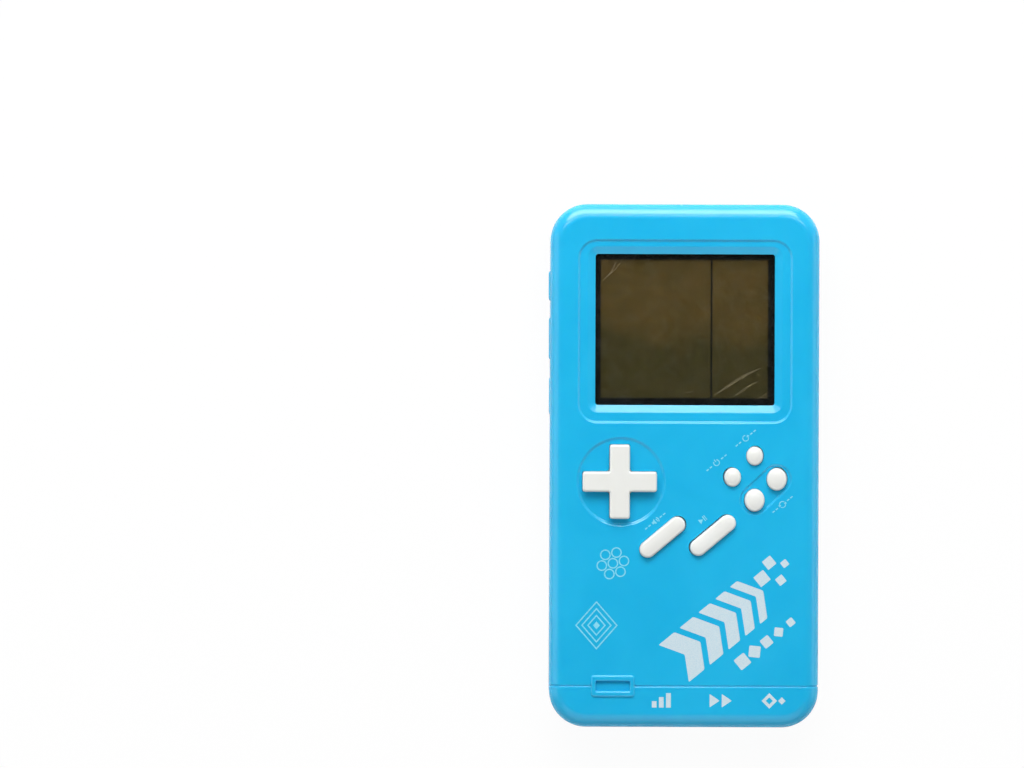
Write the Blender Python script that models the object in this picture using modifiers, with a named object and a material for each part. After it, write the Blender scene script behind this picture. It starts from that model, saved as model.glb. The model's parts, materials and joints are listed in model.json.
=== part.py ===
"""Handheld LCD game with a phone-like case, lying on its back.

Metres. +Z points out of the screen face, +Y towards the top edge, +X to the right. The origin is the
middle of the back face. Heights run from the back face (z = 0) up to the screen face (z = FACE_Z).
"""

import math

import bmesh
import bpy
from mathutils import Matrix, Vector

# ---------------------------------------------------------------------------------------------------
# Clearances
# ---------------------------------------------------------------------------------------------------
GAP = 0.0003            # between pieces that touch or seat on each other
FILM_GAP = 0.0001       # under the peel-off film
SCREW_PLAY = 0.0002     # radial, round a screw's shank
CELL_PLAY = 0.0003      # above, below and beside the cells
KEY_PLAY = 0.0004       # between a key and its hole
DPAD_PLAY = 0.0006      # between the cross and its hole, which leaves room to rock
MERGE = 0.000001        # merge distance for turned profiles

# ---------------------------------------------------------------------------------------------------
# Case
# ---------------------------------------------------------------------------------------------------
CORNER_RADIUS = 0.0110
EDGE_RADIUS = 0.0035
FRONT_WALL = 0.0018
REAR_WALL = 0.0018
PARTING_HEIGHT = 0.0080     # rim of the rear shell above the back face
SEAM_GAP = 0.0003
TONGUE_HEIGHT = 0.0012      # rear shell's tongue inside the front shell
TONGUE_WALL = 0.0008

BOSS_RADIUS = 0.0028
BOSS_SIDE_ROOM = 0.00185    # between a case boss and the side wall
BOSS_END_ROOM = 0.0044      # between an end boss and the end wall
BOSS_ROOT = 0.0006          # how deep a boss runs into the wall that carries it
POST_RADIUS = 0.0020        # board post

# Case screws go in from the back, board screws from behind the board.
CASE_SCREW_RADIUS = 0.0010
CASE_SCREW_LENGTH = 0.0090
CASE_HEAD_RADIUS = 0.0018
CASE_HEAD_HEIGHT = 0.0013
COUNTERBORE_DEPTH = 0.0026
BOARD_SCREW_RADIUS = 0.0007
BOARD_SCREW_LENGTH = 0.0050
BOARD_HEAD_RADIUS = 0.0014
BOARD_HEAD_HEIGHT = 0.0009
PILOT_REST = 0.0010         # free depth beyond a screw's tip

# ---------------------------------------------------------------------------------------------------
# Screen, along +Y from the top edge down, and its stack from the front wall down to the board
# ---------------------------------------------------------------------------------------------------
TOP_MARGIN = 0.0149         # body's top edge to the window
WINDOW_WIDTH = 0.0532
WINDOW_LENGTH = 0.0448
WINDOW_RADIUS = 0.0008
WINDOW_LIP = 0.0005         # plate left at the window's rim
BEZEL_SLOPE = 0.0026        # width of the rolled slope round the window
BEZEL_BAND = 0.0020         # flat band outside the slope
BEZEL_STEP = 0.0005         # how deep the surround lies below the face
BEZEL_RADIUS = 0.0050
LENS_BORDER = 0.0014        # lens beyond the window
LENS_THICKNESS = 0.0010
FILM_INSET = 0.0003
FILM_THICKNESS = 0.00015
LCD_BORDER = 0.0024         # glass beyond the window at the sides
LCD_CELL_BORDER = 0.0014    # rear glass beyond the window at top and bottom
LCD_LEDGE = 0.0030          # contact ledge of the front glass at top and bottom
GLASS_THICKNESS = 0.0009
REFLECTOR_THICKNESS = 0.0002
HOLDER_FLOOR = 0.0015
HOLDER_WALL = 0.0010
HOLDER_RIM = 0.0012         # how far the holder's wall rises past the rear glass
ZEBRA_WIDTH = 0.0020
ZEBRA_END_INSET = 0.0020

# ---------------------------------------------------------------------------------------------------
# Controls
# ---------------------------------------------------------------------------------------------------
KEY_TRAVEL = 0.0010
FLANGE_THICKNESS = 0.0010
FLANGE_RIM = 0.0007         # flange beyond the key's side
KEY_EDGE = 0.0009           # rounding at a key's top
KEY_CROWN = 0.0003          # how much a round key's top is domed

DPAD_DROP = 0.0227          # window's lower edge to the cross's centre
DPAD_SIDE = 0.0207          # body's left side to the cross's centre
DPAD_SPAN = 0.0220
DPAD_ARM = 0.0060
DPAD_CORNER = 0.0008
DPAD_RISE = 0.0022          # above the face
DPAD_RECESS_MARGIN = 0.0020
DPAD_RECESS_SHIFT = 0.0004   # recess's middle to the right of the cross
DPAD_RECESS_DEPTH = 0.0005
DPAD_FLANGE_MARGIN = 0.0009
DPAD_FLANGE_DROP = 0.0015   # below the front wall, which leaves room to rock
DPAD_TILT = math.radians(4.5)
BALL_RADIUS = 0.0014
BALL_DROP = 0.0016          # ball's centre below the flange's top
SOCKET_RADIUS = 0.0032

KEYS_DROP = 0.0215          # window's lower edge to the middle of the four round keys
KEYS_SIDE = 0.0193          # body's right side to the middle of the four round keys
KEY_SPACING = 0.0012        # between the flanges of the two large keys
LARGE_KEY_RADIUS = 0.00295
SMALL_KEY_RADIUS = 0.00248
KEY_OVAL = 1.13             # a round key's height over its width
ROUND_KEY_RISE = 0.0016
KEY_RECESS_RADIUS = 0.0043
KEY_RECESS_DEPTH = 0.0005

PILL_DROP = 0.0388          # window's lower edge to the long keys
PILL_SHIFT = 0.0009         # the pair's middle to the right of the body's middle
PILL_PITCH = 0.0150
PILL_SLOPE = math.radians(2.3)
PILL_ANGLE = math.radians(40.0)
PILL_LENGTH = 0.0162
PILL_WIDTH = 0.0049
PILL_RISE = 0.0017

MEMBRANE_THICKNESS = 0.0008
DOME_RADIUS = 0.0029
DOME_TOP_RADIUS = 0.0017
DOME_WALL = 0.0005
CARBON_RADIUS = 0.0010
DPAD_DOME_OFFSET = 0.0076

# ---------------------------------------------------------------------------------------------------
# Board and speaker
# ---------------------------------------------------------------------------------------------------
BOARD_THICKNESS = 0.0012
BOARD_TOP_ROOM = 0.0025     # board beyond the upper posts
BOARD_BELOW_PILLS = 0.0105
BOARD_TO_BAY = 0.0070
UPPER_POST_INSET = 0.01045  # board's side edges to the upper posts
LOWER_POST_INSET = 0.00645
LOWER_POST_RISE = 0.0035    # lower posts above the board's lower edge
CHIP_RADIUS = 0.0065        # the epoxy blob over the chip
CHIP_HEIGHT = 0.0016
CAN_RADIUS = 0.0025         # electrolytic capacitor
CAN_HEIGHT = 0.0045
CAN_X = 0.0130
DISC_RADIUS = 0.0018        # ceramic capacitor
DISC_X = -0.0120
RESISTOR_LENGTH = 0.0062
RESISTOR_THICKNESS = 0.0022
RESISTOR_X = 0.0040
COMPONENT_RISE = 0.0070     # the row of capacitors above the long keys' line
RESISTOR_RISE = 0.0020
TRANSISTOR_DROP = 0.0045    # transistor below the long keys' line
TRANSISTOR_SIZE = (0.0045, 0.0036, 0.0042)
SPEAKER_RADIUS = 0.0140
SPEAKER_DEPTH = 0.0046
SPEAKER_DROP = 0.0335       # body's top edge to the speaker's axis
SPEAKER_RIM = 0.0010
MAGNET_RADIUS = 0.0062
MAGNET_HEIGHT = 0.0018
CONE_THICKNESS = 0.0003
GRILLE_SLOTS = 7
GRILLE_PITCH = 0.0032
GRILLE_SLOT_WIDTH = 0.0014
WIRE_RADIUS = 0.0005

# ---------------------------------------------------------------------------------------------------
# Battery bay and door, for two AAA cells laid across the body
# ---------------------------------------------------------------------------------------------------
CELL_DIAMETER = 0.0105
CELL_LENGTH = 0.0445
NUB_RADIUS = 0.0018
NUB_HEIGHT = 0.0010
CELL_SPACING = 0.0006
SPRING_LENGTH = 0.0050
SPRING_WIRE_RADIUS = 0.00035
SPRING_TURNS = 4
PLATE_THICKNESS = 0.0004
PLATE_SIZE = 0.0080
BAY_WALL = 0.0010
BAY_TO_END = 0.0162         # bay to the body's lower end
DOOR_THICKNESS = 0.0020
DOOR_SIDE_MARGIN = 0.0013   # door beyond the bay's walls
DOOR_TOP_MARGIN = 0.0022    # door beyond the bay's upper end
DOOR_TRAVEL = 0.0070
DOOR_CORNER = 0.0015
SEAT_WALL = 0.0012          # ledge that the door lies on
TONGUE_REACH = 0.0014       # door's side tongues
TONGUE_LENGTH = 0.0050
TONGUE_THICKNESS = 0.0009
TONGUE_LIP = 0.0008         # back wall left under a tongue
TONGUE_FROM_TOP = 0.0030    # door's upper edge to its upper tongues
TONGUE_PITCH = 0.0140
RAIL_WALL = 0.0010
GRIP_GROOVES = 5
GRIP_PITCH = 0.0022
GRIP_WIDTH = 0.0010
GRIP_DEPTH = 0.0004
GRIP_LENGTH = 0.0160

# ---------------------------------------------------------------------------------------------------
# Trim moulded on the front shell
# ---------------------------------------------------------------------------------------------------
GROOVE_FROM_END = 0.0124    # body's lower end to the groove across the face
GROOVE_WIDTH = 0.0005
GROOVE_DEPTH = 0.0004
FRAME_LENGTH = 0.0129
FRAME_HEIGHT = 0.0065
FRAME_BORDER_X = 0.0014
FRAME_BORDER_Y = 0.0018
FRAME_FROM_SIDE = 0.01890   # body's left side to the frame's middle
FRAME_RISE = 0.0005
FRAME_POCKET_DEPTH = 0.0006
FRAME_CORNER = 0.0006
SIDE_KEY_HEIGHT = 0.0026
SIDE_KEY_ROOT = 0.0010
SIDE_KEY_BELOW_EDGE = 0.0022    # below the start of the front edge's rounding

# ---------------------------------------------------------------------------------------------------
# Heights, worked out from the back face up to the screen face and down again to the board
# ---------------------------------------------------------------------------------------------------
SEAT_Z = DOOR_THICKNESS + GAP
CELL_Z = SEAT_Z + CELL_PLAY + CELL_DIAMETER / 2
BAY_CEILING_Z = CELL_Z + CELL_DIAMETER / 2 + CELL_PLAY
FRONT_INNER_Z = BAY_CEILING_Z + BAY_WALL + GAP
FACE_Z = FRONT_INNER_Z + FRONT_WALL

LENS_Z = FRONT_INNER_Z - GAP - LENS_THICKNESS
FRONT_GLASS_Z = LENS_Z - GAP - GLASS_THICKNESS
REAR_GLASS_Z = FRONT_GLASS_Z - GAP - GLASS_THICKNESS
REFLECTOR_Z = REAR_GLASS_Z - GAP - REFLECTOR_THICKNESS
HOLDER_FLOOR_Z = REFLECTOR_Z - GAP
HOLDER_Z = HOLDER_FLOOR_Z - HOLDER_FLOOR
BOARD_FRONT_Z = HOLDER_Z - GAP
BOARD_REAR_Z = BOARD_FRONT_Z - BOARD_THICKNESS

KEY_FLANGE_Z = FRONT_INNER_Z - GAP - FLANGE_THICKNESS
DPAD_FLANGE_TOP_Z = FRONT_INNER_Z - DPAD_FLANGE_DROP
DPAD_FLANGE_Z = DPAD_FLANGE_TOP_Z - FLANGE_THICKNESS
BALL_Z = DPAD_FLANGE_TOP_Z - BALL_DROP
MEMBRANE_Z = BOARD_FRONT_Z + GAP

# ---------------------------------------------------------------------------------------------------
# Plan sizes, worked out from what lies side by side or end to end
# ---------------------------------------------------------------------------------------------------
BAY_HALF_WIDTH = (CELL_LENGTH + SPRING_LENGTH + 2 * PLATE_THICKNESS + 4 * GAP) / 2
BAY_LENGTH = 2 * CELL_DIAMETER + CELL_SPACING + 2 * CELL_PLAY
DOOR_HALF_WIDTH = BAY_HALF_WIDTH + BAY_WALL + DOOR_SIDE_MARGIN
LCD_HALF_WIDTH = WINDOW_WIDTH / 2 + LCD_BORDER
SCREEN_HALF_ROOM = LCD_HALF_WIDTH + GAP + HOLDER_WALL + GAP
DOOR_HALF_ROOM = DOOR_HALF_WIDTH + TONGUE_REACH + GAP + RAIL_WALL
INNER_HALF_ROOM = max(SCREEN_HALF_ROOM, DOOR_HALF_ROOM)
BODY_WIDTH = 2 * (INNER_HALF_ROOM + 2 * BOSS_RADIUS + BOSS_SIDE_ROOM + FRONT_WALL)
BODY_LENGTH = (TOP_MARGIN + WINDOW_LENGTH + PILL_DROP + BOARD_BELOW_PILLS + BOARD_TO_BAY + BAY_WALL
               + BAY_LENGTH + BAY_TO_END)

TOP_Y = BODY_LENGTH / 2
WINDOW_Y = TOP_Y - TOP_MARGIN - WINDOW_LENGTH / 2
WINDOW_BOTTOM_Y = WINDOW_Y - WINDOW_LENGTH / 2
REAR_GLASS_LENGTH = WINDOW_LENGTH + 2 * LCD_CELL_BORDER
FRONT_GLASS_LENGTH = REAR_GLASS_LENGTH + 2 * LCD_LEDGE
HOLDER_HALF_LENGTH = FRONT_GLASS_LENGTH / 2 + GAP + HOLDER_WALL
DPAD_X = DPAD_SIDE - BODY_WIDTH / 2
DPAD_Y = WINDOW_BOTTOM_Y - DPAD_DROP
DPAD_FLANGE_RADIUS = DPAD_SPAN / 2 + DPAD_FLANGE_MARGIN
KEYS_X = BODY_WIDTH / 2 - KEYS_SIDE
KEYS_Y = WINDOW_BOTTOM_Y - KEYS_DROP
KEY_PITCH = (2 * (LARGE_KEY_RADIUS * KEY_OVAL + FLANGE_RIM) + KEY_SPACING) / math.sqrt(2)
PILL_Y = WINDOW_BOTTOM_Y - PILL_DROP

UPPER_POST_Y = WINDOW_Y + HOLDER_HALF_LENGTH + GAP + POST_RADIUS
BOARD_TOP_Y = UPPER_POST_Y + BOARD_TOP_ROOM
BOARD_BOTTOM_Y = PILL_Y - BOARD_BELOW_PILLS
LOWER_POST_Y = BOARD_BOTTOM_Y + LOWER_POST_RISE
BOSS_X = BODY_WIDTH / 2 - FRONT_WALL - BOSS_SIDE_ROOM - BOSS_RADIUS
BOARD_HALF_WIDTH = BOSS_X - BOSS_RADIUS - GAP
BOSS_END_Y = TOP_Y - FRONT_WALL - BOSS_END_ROOM - BOSS_RADIUS
BOSS_MIDDLE_Y = WINDOW_BOTTOM_Y - BOSS_RADIUS - HOLDER_WALL - LCD_LEDGE
SPEAKER_Y = TOP_Y - SPEAKER_DROP

BAY_BOTTOM_Y = BAY_TO_END - TOP_Y
BAY_TOP_Y = BAY_BOTTOM_Y + BAY_LENGTH
DOOR_TOP_Y = BAY_TOP_Y + BAY_WALL + DOOR_TOP_MARGIN
CELL_Y = [BAY_BOTTOM_Y + CELL_PLAY + CELL_DIAMETER / 2,
          BAY_TOP_Y - CELL_PLAY - CELL_DIAMETER / 2]
TONGUE_Y = [DOOR_TOP_Y - TONGUE_FROM_TOP - TONGUE_LENGTH / 2 - i * TONGUE_PITCH for i in range(2)]

CASE_SCREWS = [(side * BOSS_X, y) for y in (BOSS_END_Y, BOSS_MIDDLE_Y, -BOSS_END_Y) for side in (-1, 1)]
BOARD_POSTS = ([(side * (BOARD_HALF_WIDTH - UPPER_POST_INSET), UPPER_POST_Y) for side in (-1, 1)]
               + [(side * (BOARD_HALF_WIDTH - LOWER_POST_INSET), LOWER_POST_Y) for side in (-1, 1)])

# name, direction from the middle of the four, radius
ROUND_KEYS = [
    ("reset_key", math.radians(90), SMALL_KEY_RADIUS),
    ("power_key", math.radians(178), SMALL_KEY_RADIUS),
    ("rotate_key", math.radians(-3), LARGE_KEY_RADIUS),
    ("drop_key", math.radians(-90), LARGE_KEY_RADIUS),
]
# name, side of the pair's middle
PILL_KEYS = [("sound_key", -1), ("start_key", 1)]
# distance from the window's lower edge up to the bump's middle, length, how far it stands out
SIDE_KEYS = [(0.0354, 0.0089, 0.0005), (0.0197, 0.0125, 0.0004), (0.0026, 0.0110, 0.0003)]

# Segments of the round shapes
CORNER_STEPS = 6
EDGE_STEPS = 4
FINE_STEPS = 3
ROUND_STEPS = 24
BOSS_STEPS = 12
HOLE_STEPS = 10

COLOURS = {
    # name: colour, roughness, metallic
    "blue_plastic": ((0.02, 0.50, 0.83), 0.22, 0.0),
    "white_plastic": ((0.83, 0.84, 0.82), 0.35, 0.0),
    "clear_plastic": ((0.90, 0.92, 0.92), 0.05, 0.0),
    "panel_glass": ((0.07, 0.055, 0.02), 0.08, 0.0),
    "silver_film": ((0.70, 0.70, 0.66), 0.30, 1.0),
    "cream_plastic": ((0.75, 0.73, 0.66), 0.45, 0.0),
    "grey_silicone": ((0.35, 0.36, 0.37), 0.70, 0.0),
    "pink_elastomer": ((0.75, 0.45, 0.42), 0.75, 0.0),
    "board_laminate": ((0.10, 0.28, 0.08), 0.50, 0.0),
    "black_epoxy": ((0.01, 0.01, 0.01), 0.30, 0.0),
    "component": ((0.55, 0.30, 0.12), 0.45, 0.0),
    "steel": ((0.60, 0.60, 0.58), 0.30, 1.0),
    "ferrite": ((0.06, 0.06, 0.06), 0.55, 0.0),
    "paper_cone": ((0.05, 0.05, 0.045), 0.80, 0.0),
    "cell_jacket": ((0.05, 0.06, 0.07), 0.35, 0.0),
    "red_wire": ((0.60, 0.02, 0.02), 0.45, 0.0),
    "black_wire": ((0.015, 0.015, 0.015), 0.45, 0.0),
}


# ---------------------------------------------------------------------------------------------------
# Scene helpers
# ---------------------------------------------------------------------------------------------------
def clear_scene():
    for obj in list(bpy.data.objects):
        bpy.data.objects.remove(obj, do_unlink=True)


def new_collection(name):
    collection = bpy.data.collections.new(name)
    bpy.context.scene.collection.children.link(collection)
    return collection


def material(name):
    """The named plastic, metal or glass, made on first use."""
    found = bpy.data.materials.get(name)
    if found:
        return found
    colour, roughness, metallic = COLOURS[name]
    made = bpy.data.materials.new(name)
    made.use_nodes = True
    shader = made.node_tree.nodes["Principled BSDF"]
    shader.inputs["Base Color"].default_value = (*colour, 1.0)
    shader.inputs["Roughness"].default_value = roughness
    shader.inputs["Metallic"].default_value = metallic
    made.diffuse_color = (*colour, 1.0)
    return made


def add_object(name, data, slot=None, at=(0, 0, 0), turn=0.0):
    """Link data as a part with the material slot, or as a hidden cutter where slot is None."""
    obj = bpy.data.objects.new(name, data)
    obj.location = at
    obj.rotation_euler = (0, 0, turn)
    if slot:
        data.materials.clear()
        data.materials.append(material(slot))
        PARTS.objects.link(obj)
    else:
        obj.hide_render = True
        obj.display_type = "WIRE"
        TOOLS.objects.link(obj)
    return obj


def mesh_from(bm, name):
    bmesh.ops.recalc_face_normals(bm, faces=bm.faces)
    mesh = bpy.data.meshes.new(name)
    bm.to_mesh(mesh)
    bm.free()
    return mesh


def boolean(target, tool, operation):
    modifier = target.modifiers.new(operation.lower(), "BOOLEAN")
    modifier.operation = operation
    modifier.object = tool


def cut(target, *tools):
    for tool in tools:
        boolean(target, tool, "DIFFERENCE")


def join(target, *tools):
    for tool in tools:
        boolean(target, tool, "UNION")


# ---------------------------------------------------------------------------------------------------
# Shape helpers: each returns a mesh that stands on z = 0 of its object
# ---------------------------------------------------------------------------------------------------
def edges_at(bm, height):
    return [e for e in bm.edges if all(abs(v.co.z - height) < MERGE for v in e.verts)]


def upright_edges(bm):
    return [e for e in bm.edges if abs(e.verts[0].co.z - e.verts[1].co.z) > MERGE]


def round_edges(bm, edges, radius, steps):
    if radius > 0:
        bmesh.ops.bevel(bm, geom=edges, offset=radius, offset_type="OFFSET", segments=steps,
                        profile=0.5, affect="EDGES", clamp_overlap=False)


def block_mesh(name, size, corner=0.0, top=0.0, bottom=0.0, steps=FINE_STEPS, edge_steps=3):
    """A box centred in x and y, with rounded upright edges and a rounded top or bottom rim."""
    bm = bmesh.new()
    bmesh.ops.create_cube(bm, size=1.0)
    bmesh.ops.scale(bm, vec=size, verts=bm.verts)
    bmesh.ops.translate(bm, vec=(0, 0, size[2] / 2), verts=bm.verts)
    round_edges(bm, upright_edges(bm), corner, steps)
    round_edges(bm, edges_at(bm, size[2]), top, edge_steps)
    round_edges(bm, edges_at(bm, 0.0), bottom, edge_steps)
    return mesh_from(bm, name)


def block(name, size, at, slot=None, turn=0.0, **rounding):
    return add_object(name, block_mesh(name, size, **rounding), slot, at, turn)


def span_block(name, low, high, slot=None, **rounding):
    """A block between two corners."""
    size = [b - a for a, b in zip(low, high)]
    at = ((low[0] + high[0]) / 2, (low[1] + high[1]) / 2, low[2])
    return block(name, size, at, slot, **rounding)


def stadium(name, length, width, height, at, slot=None, turn=0.0, top=0.0):
    """A flat-ended bar with fully round ends, along its local X."""
    nearly_half = width / 2 - MERGE
    return block(name, (length, width, height), at, slot, turn, corner=nearly_half, top=top, steps=5,
                 edge_steps=2)


def cross_block(name, span, arm, height, at, slot=None, corner=0.0, top=0.0):
    """A plus-shaped block."""
    quarter = [(arm / 2, arm / 2), (arm / 2, span / 2), (-arm / 2, span / 2)]
    bm = bmesh.new()
    verts = []
    for turn in range(4):
        rotation = Matrix.Rotation(turn * math.pi / 2, 3, "Z")
        verts += [bm.verts.new(rotation @ Vector((x, y, 0))) for x, y in quarter]
    base = bm.faces.new(verts)
    raised = bmesh.ops.extrude_face_region(bm, geom=[base])
    lifted = [item for item in raised["geom"] if isinstance(item, bmesh.types.BMVert)]
    bmesh.ops.translate(bm, vec=(0, 0, height), verts=lifted)
    bmesh.ops.recalc_face_normals(bm, faces=bm.faces)
    round_edges(bm, upright_edges(bm), corner, 2)
    round_edges(bm, edges_at(bm, height), top, 2)
    return add_object(name, mesh_from(bm, name), slot, at)


def cylinder(name, radius, height, at, slot=None, steps=ROUND_STEPS, top_radius=None):
    bm = bmesh.new()
    bmesh.ops.create_cone(bm, cap_ends=True, segments=steps, radius1=radius,
                          radius2=radius if top_radius is None else top_radius, depth=height)
    bmesh.ops.translate(bm, vec=(0, 0, height / 2), verts=bm.verts)
    return add_object(name, mesh_from(bm, name), slot, at)


def sphere(name, radius, at, slot=None, steps=12):
    bm = bmesh.new()
    bmesh.ops.create_uvsphere(bm, u_segments=steps, v_segments=steps // 2, radius=radius)
    return add_object(name, mesh_from(bm, name), slot, at)


def profile_mesh(name, profile, closed=False):
    """The outline of a turned shape: (radius, height) pairs, outer side from top to bottom."""
    edges = [(i, i + 1) for i in range(len(profile) - 1)]
    if closed:
        edges.append((len(profile) - 1, 0))
    mesh = bpy.data.meshes.new(name)
    mesh.from_pydata([(r, 0, z) for r, z in profile], edges, [])
    return mesh


def turned(name, profile, at, slot=None, steps=ROUND_STEPS, closed=False, oval=1.0):
    """A turned solid. closed is for a ring, whose profile stays off the axis."""
    obj = add_object(name, profile_mesh(name, profile, closed), slot, at)
    obj.scale = (1, oval, 1)
    screw = obj.modifiers.new("turn", "SCREW")
    screw.steps = steps
    screw.render_steps = steps
    screw.use_merge_vertices = True
    screw.merge_threshold = MERGE
    return obj


def arc(centre, radius, start, end, steps):
    """Points of an arc in a profile, angles in degrees from +X."""
    angles = [math.radians(start + (end - start) * i / steps) for i in range(steps + 1)]
    return [(centre[0] + radius * math.cos(a), centre[1] + radius * math.sin(a)) for a in angles]


def ring_points(half_x, half_y, radius, height, steps):
    """Points of a rounded rectangle, anticlockwise from the right side's lower end."""
    points = []
    for quadrant, (sx, sy) in enumerate(((1, 1), (-1, 1), (-1, -1), (1, -1))):
        centre = (sx * (half_x - radius), sy * (half_y - radius))
        start = 90 * quadrant
        points += [(x, y, height) for x, y in arc(centre, radius, start, start + 90, steps)]
    return points


def loft(name, rings, at):
    """A closed solid through rounded-rectangle rings, listed from the bottom up."""
    bm = bmesh.new()
    loops = [[bm.verts.new(p) for p in ring] for ring in rings]
    count = len(loops[0])
    for lower, upper in zip(loops, loops[1:]):
        for i in range(count):
            j = (i + 1) % count
            bm.faces.new((lower[i], lower[j], upper[j], upper[i]))
    bm.faces.new(list(reversed(loops[0])))
    bm.faces.new(loops[-1])
    return add_object(name, mesh_from(bm, name), None, at)


def tray(name, low, high, wall, offset, open_side, slot=None):
    """The body's skin between two heights, open at "top" or "bottom", as a shell of that wall."""
    bm = bmesh.new()
    bmesh.ops.create_cube(bm, size=1.0)
    bmesh.ops.scale(bm, vec=(BODY_WIDTH, BODY_LENGTH, high - low), verts=bm.verts)
    bmesh.ops.translate(bm, vec=(0, 0, (high - low) / 2), verts=bm.verts)
    open_height, closed_height = (high - low, 0.0) if open_side == "top" else (0.0, high - low)
    faces = [f for f in bm.faces if all(abs(v.co.z - open_height) < MERGE for v in f.verts)]
    bmesh.ops.delete(bm, geom=faces, context="FACES_ONLY")
    round_edges(bm, upright_edges(bm), CORNER_RADIUS, CORNER_STEPS)
    round_edges(bm, edges_at(bm, closed_height), EDGE_RADIUS, EDGE_STEPS)
    obj = add_object(name, mesh_from(bm, name), slot, (0, 0, low))
    skin = obj.modifiers.new("wall", "SOLIDIFY")
    skin.thickness = wall
    skin.offset = offset
    skin.use_even_offset = True
    return obj


def tube(name, points, radius, slot):
    """A round wire through the points."""
    curve = bpy.data.curves.new(name, "CURVE")
    curve.dimensions = "3D"
    curve.bevel_depth = radius
    curve.bevel_resolution = 2
    curve.use_fill_caps = True
    spline = curve.splines.new("POLY")
    spline.points.add(len(points) - 1)
    for point, place in zip(spline.points, points):
        point.co = (*place, 1.0)
    return add_object(name, curve, slot)


def smooth_route(points, steps=3):
    """Points read from a smooth curve through the route's own points."""
    ends = [2 * Vector(points[0]) - Vector(points[1])]
    tail = [2 * Vector(points[-1]) - Vector(points[-2])]
    knots = ends + [Vector(p) for p in points] + tail
    route = []
    for a, b, c, d in zip(knots, knots[1:], knots[2:], knots[3:]):
        for i in range(steps):
            t = i / steps
            route.append(0.5 * (2 * b + (c - a) * t + (2 * a - 5 * b + 4 * c - d) * t ** 2
                                + (3 * b - a - 3 * c + d) * t ** 3))
    route.append(knots[-2])
    return route


def from_side(direction, distance):
    return (distance * math.cos(direction), distance * math.sin(direction))


# ---------------------------------------------------------------------------------------------------
# Case
# ---------------------------------------------------------------------------------------------------
def front_shell():
    rim = PARTING_HEIGHT + SEAM_GAP
    shell = tray("front_shell", rim, FACE_Z, FRONT_WALL, -1, "bottom", "blue_plastic")
    add_side_keys(shell)
    add_front_bosses(shell, rim)
    cut_screen(shell)
    cut_dpad_hole(shell)
    cut_round_key_holes(shell)
    for name, (x, y) in pill_places():
        length, width = PILL_LENGTH + 2 * KEY_PLAY, PILL_WIDTH + 2 * KEY_PLAY
        cut(shell, stadium(f"{name}_hole", length, width, 2 * FRONT_WALL,
                           (x, y, FACE_Z - 1.5 * FRONT_WALL), turn=PILL_ANGLE))
    add_lower_trim(shell)


def add_side_keys(shell):
    """Three dummy phone keys, moulded on the left side."""
    z = FACE_Z - EDGE_RADIUS - SIDE_KEY_BELOW_EDGE - SIDE_KEY_HEIGHT / 2
    for i, (up, length, proud) in enumerate(SIDE_KEYS):
        depth = proud + SIDE_KEY_ROOT
        x = -BODY_WIDTH / 2 - proud + depth / 2
        bump = block(f"side_key_{i + 1}", (depth, length, SIDE_KEY_HEIGHT),
                     (x, WINDOW_BOTTOM_Y + up, z))
        bevel = bump.modifiers.new("edge", "BEVEL")
        bevel.width = proud * 0.8
        bevel.segments = 2
        join(shell, bump)


def add_front_bosses(shell, rim):
    root = FRONT_INNER_Z + BOSS_ROOT
    for i, (x, y) in enumerate(CASE_SCREWS):
        join(shell, cylinder(f"front_boss_{i + 1}", BOSS_RADIUS, root - rim, (x, y, rim), steps=BOSS_STEPS))
        tip = COUNTERBORE_DEPTH - GAP + CASE_SCREW_LENGTH + PILOT_REST
        low = rim - GAP
        cut(shell, cylinder(f"case_pilot_{i + 1}", CASE_SCREW_RADIUS + SCREW_PLAY, tip - low,
                            (x, y, low), steps=HOLE_STEPS))
    foot = BOARD_FRONT_Z + GAP
    for i, (x, y) in enumerate(BOARD_POSTS):
        post = cylinder(f"board_post_{i + 1}", POST_RADIUS, root - foot, (x, y, foot), steps=BOSS_STEPS)
        join(shell, post)
        tip = BOARD_REAR_Z - GAP + BOARD_SCREW_LENGTH + PILOT_REST
        low = foot - GAP
        cut(shell, cylinder(f"board_pilot_{i + 1}", BOARD_SCREW_RADIUS + SCREW_PLAY, tip - low,
                            (x, y, low), steps=HOLE_STEPS))


def cut_screen(shell):
    """The sunken surround, then the slope that rolls down to the window, then the window."""
    half_x, half_y = WINDOW_WIDTH / 2, WINDOW_LENGTH / 2
    band = BEZEL_SLOPE + BEZEL_BAND
    floor = FACE_Z - BEZEL_STEP
    surround = [ring_points(half_x + band, half_y + band, BEZEL_RADIUS, floor, CORNER_STEPS),
                ring_points(half_x + band + BEZEL_STEP, half_y + band + BEZEL_STEP,
                            BEZEL_RADIUS + BEZEL_STEP, FACE_Z + BEZEL_STEP, CORNER_STEPS)]
    cut(shell, loft("screen_surround", surround, (0, WINDOW_Y, 0)))
    rim = FRONT_INNER_Z + WINDOW_LIP
    drop = floor - rim
    rolled = [(0.0, FRONT_INNER_Z - FRONT_WALL), (0.0, rim), (0.15 * BEZEL_SLOPE, rim + 0.45 * drop),
              (0.5 * BEZEL_SLOPE, rim + 0.8 * drop), (BEZEL_SLOPE, floor),
              (1.2 * BEZEL_SLOPE, floor + 0.1 * drop)]
    rings = [ring_points(half_x + out, half_y + out, WINDOW_RADIUS + out, z, FINE_STEPS)
             for out, z in rolled]
    cut(shell, loft("screen_slope", rings, (0, WINDOW_Y, 0)))


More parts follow.
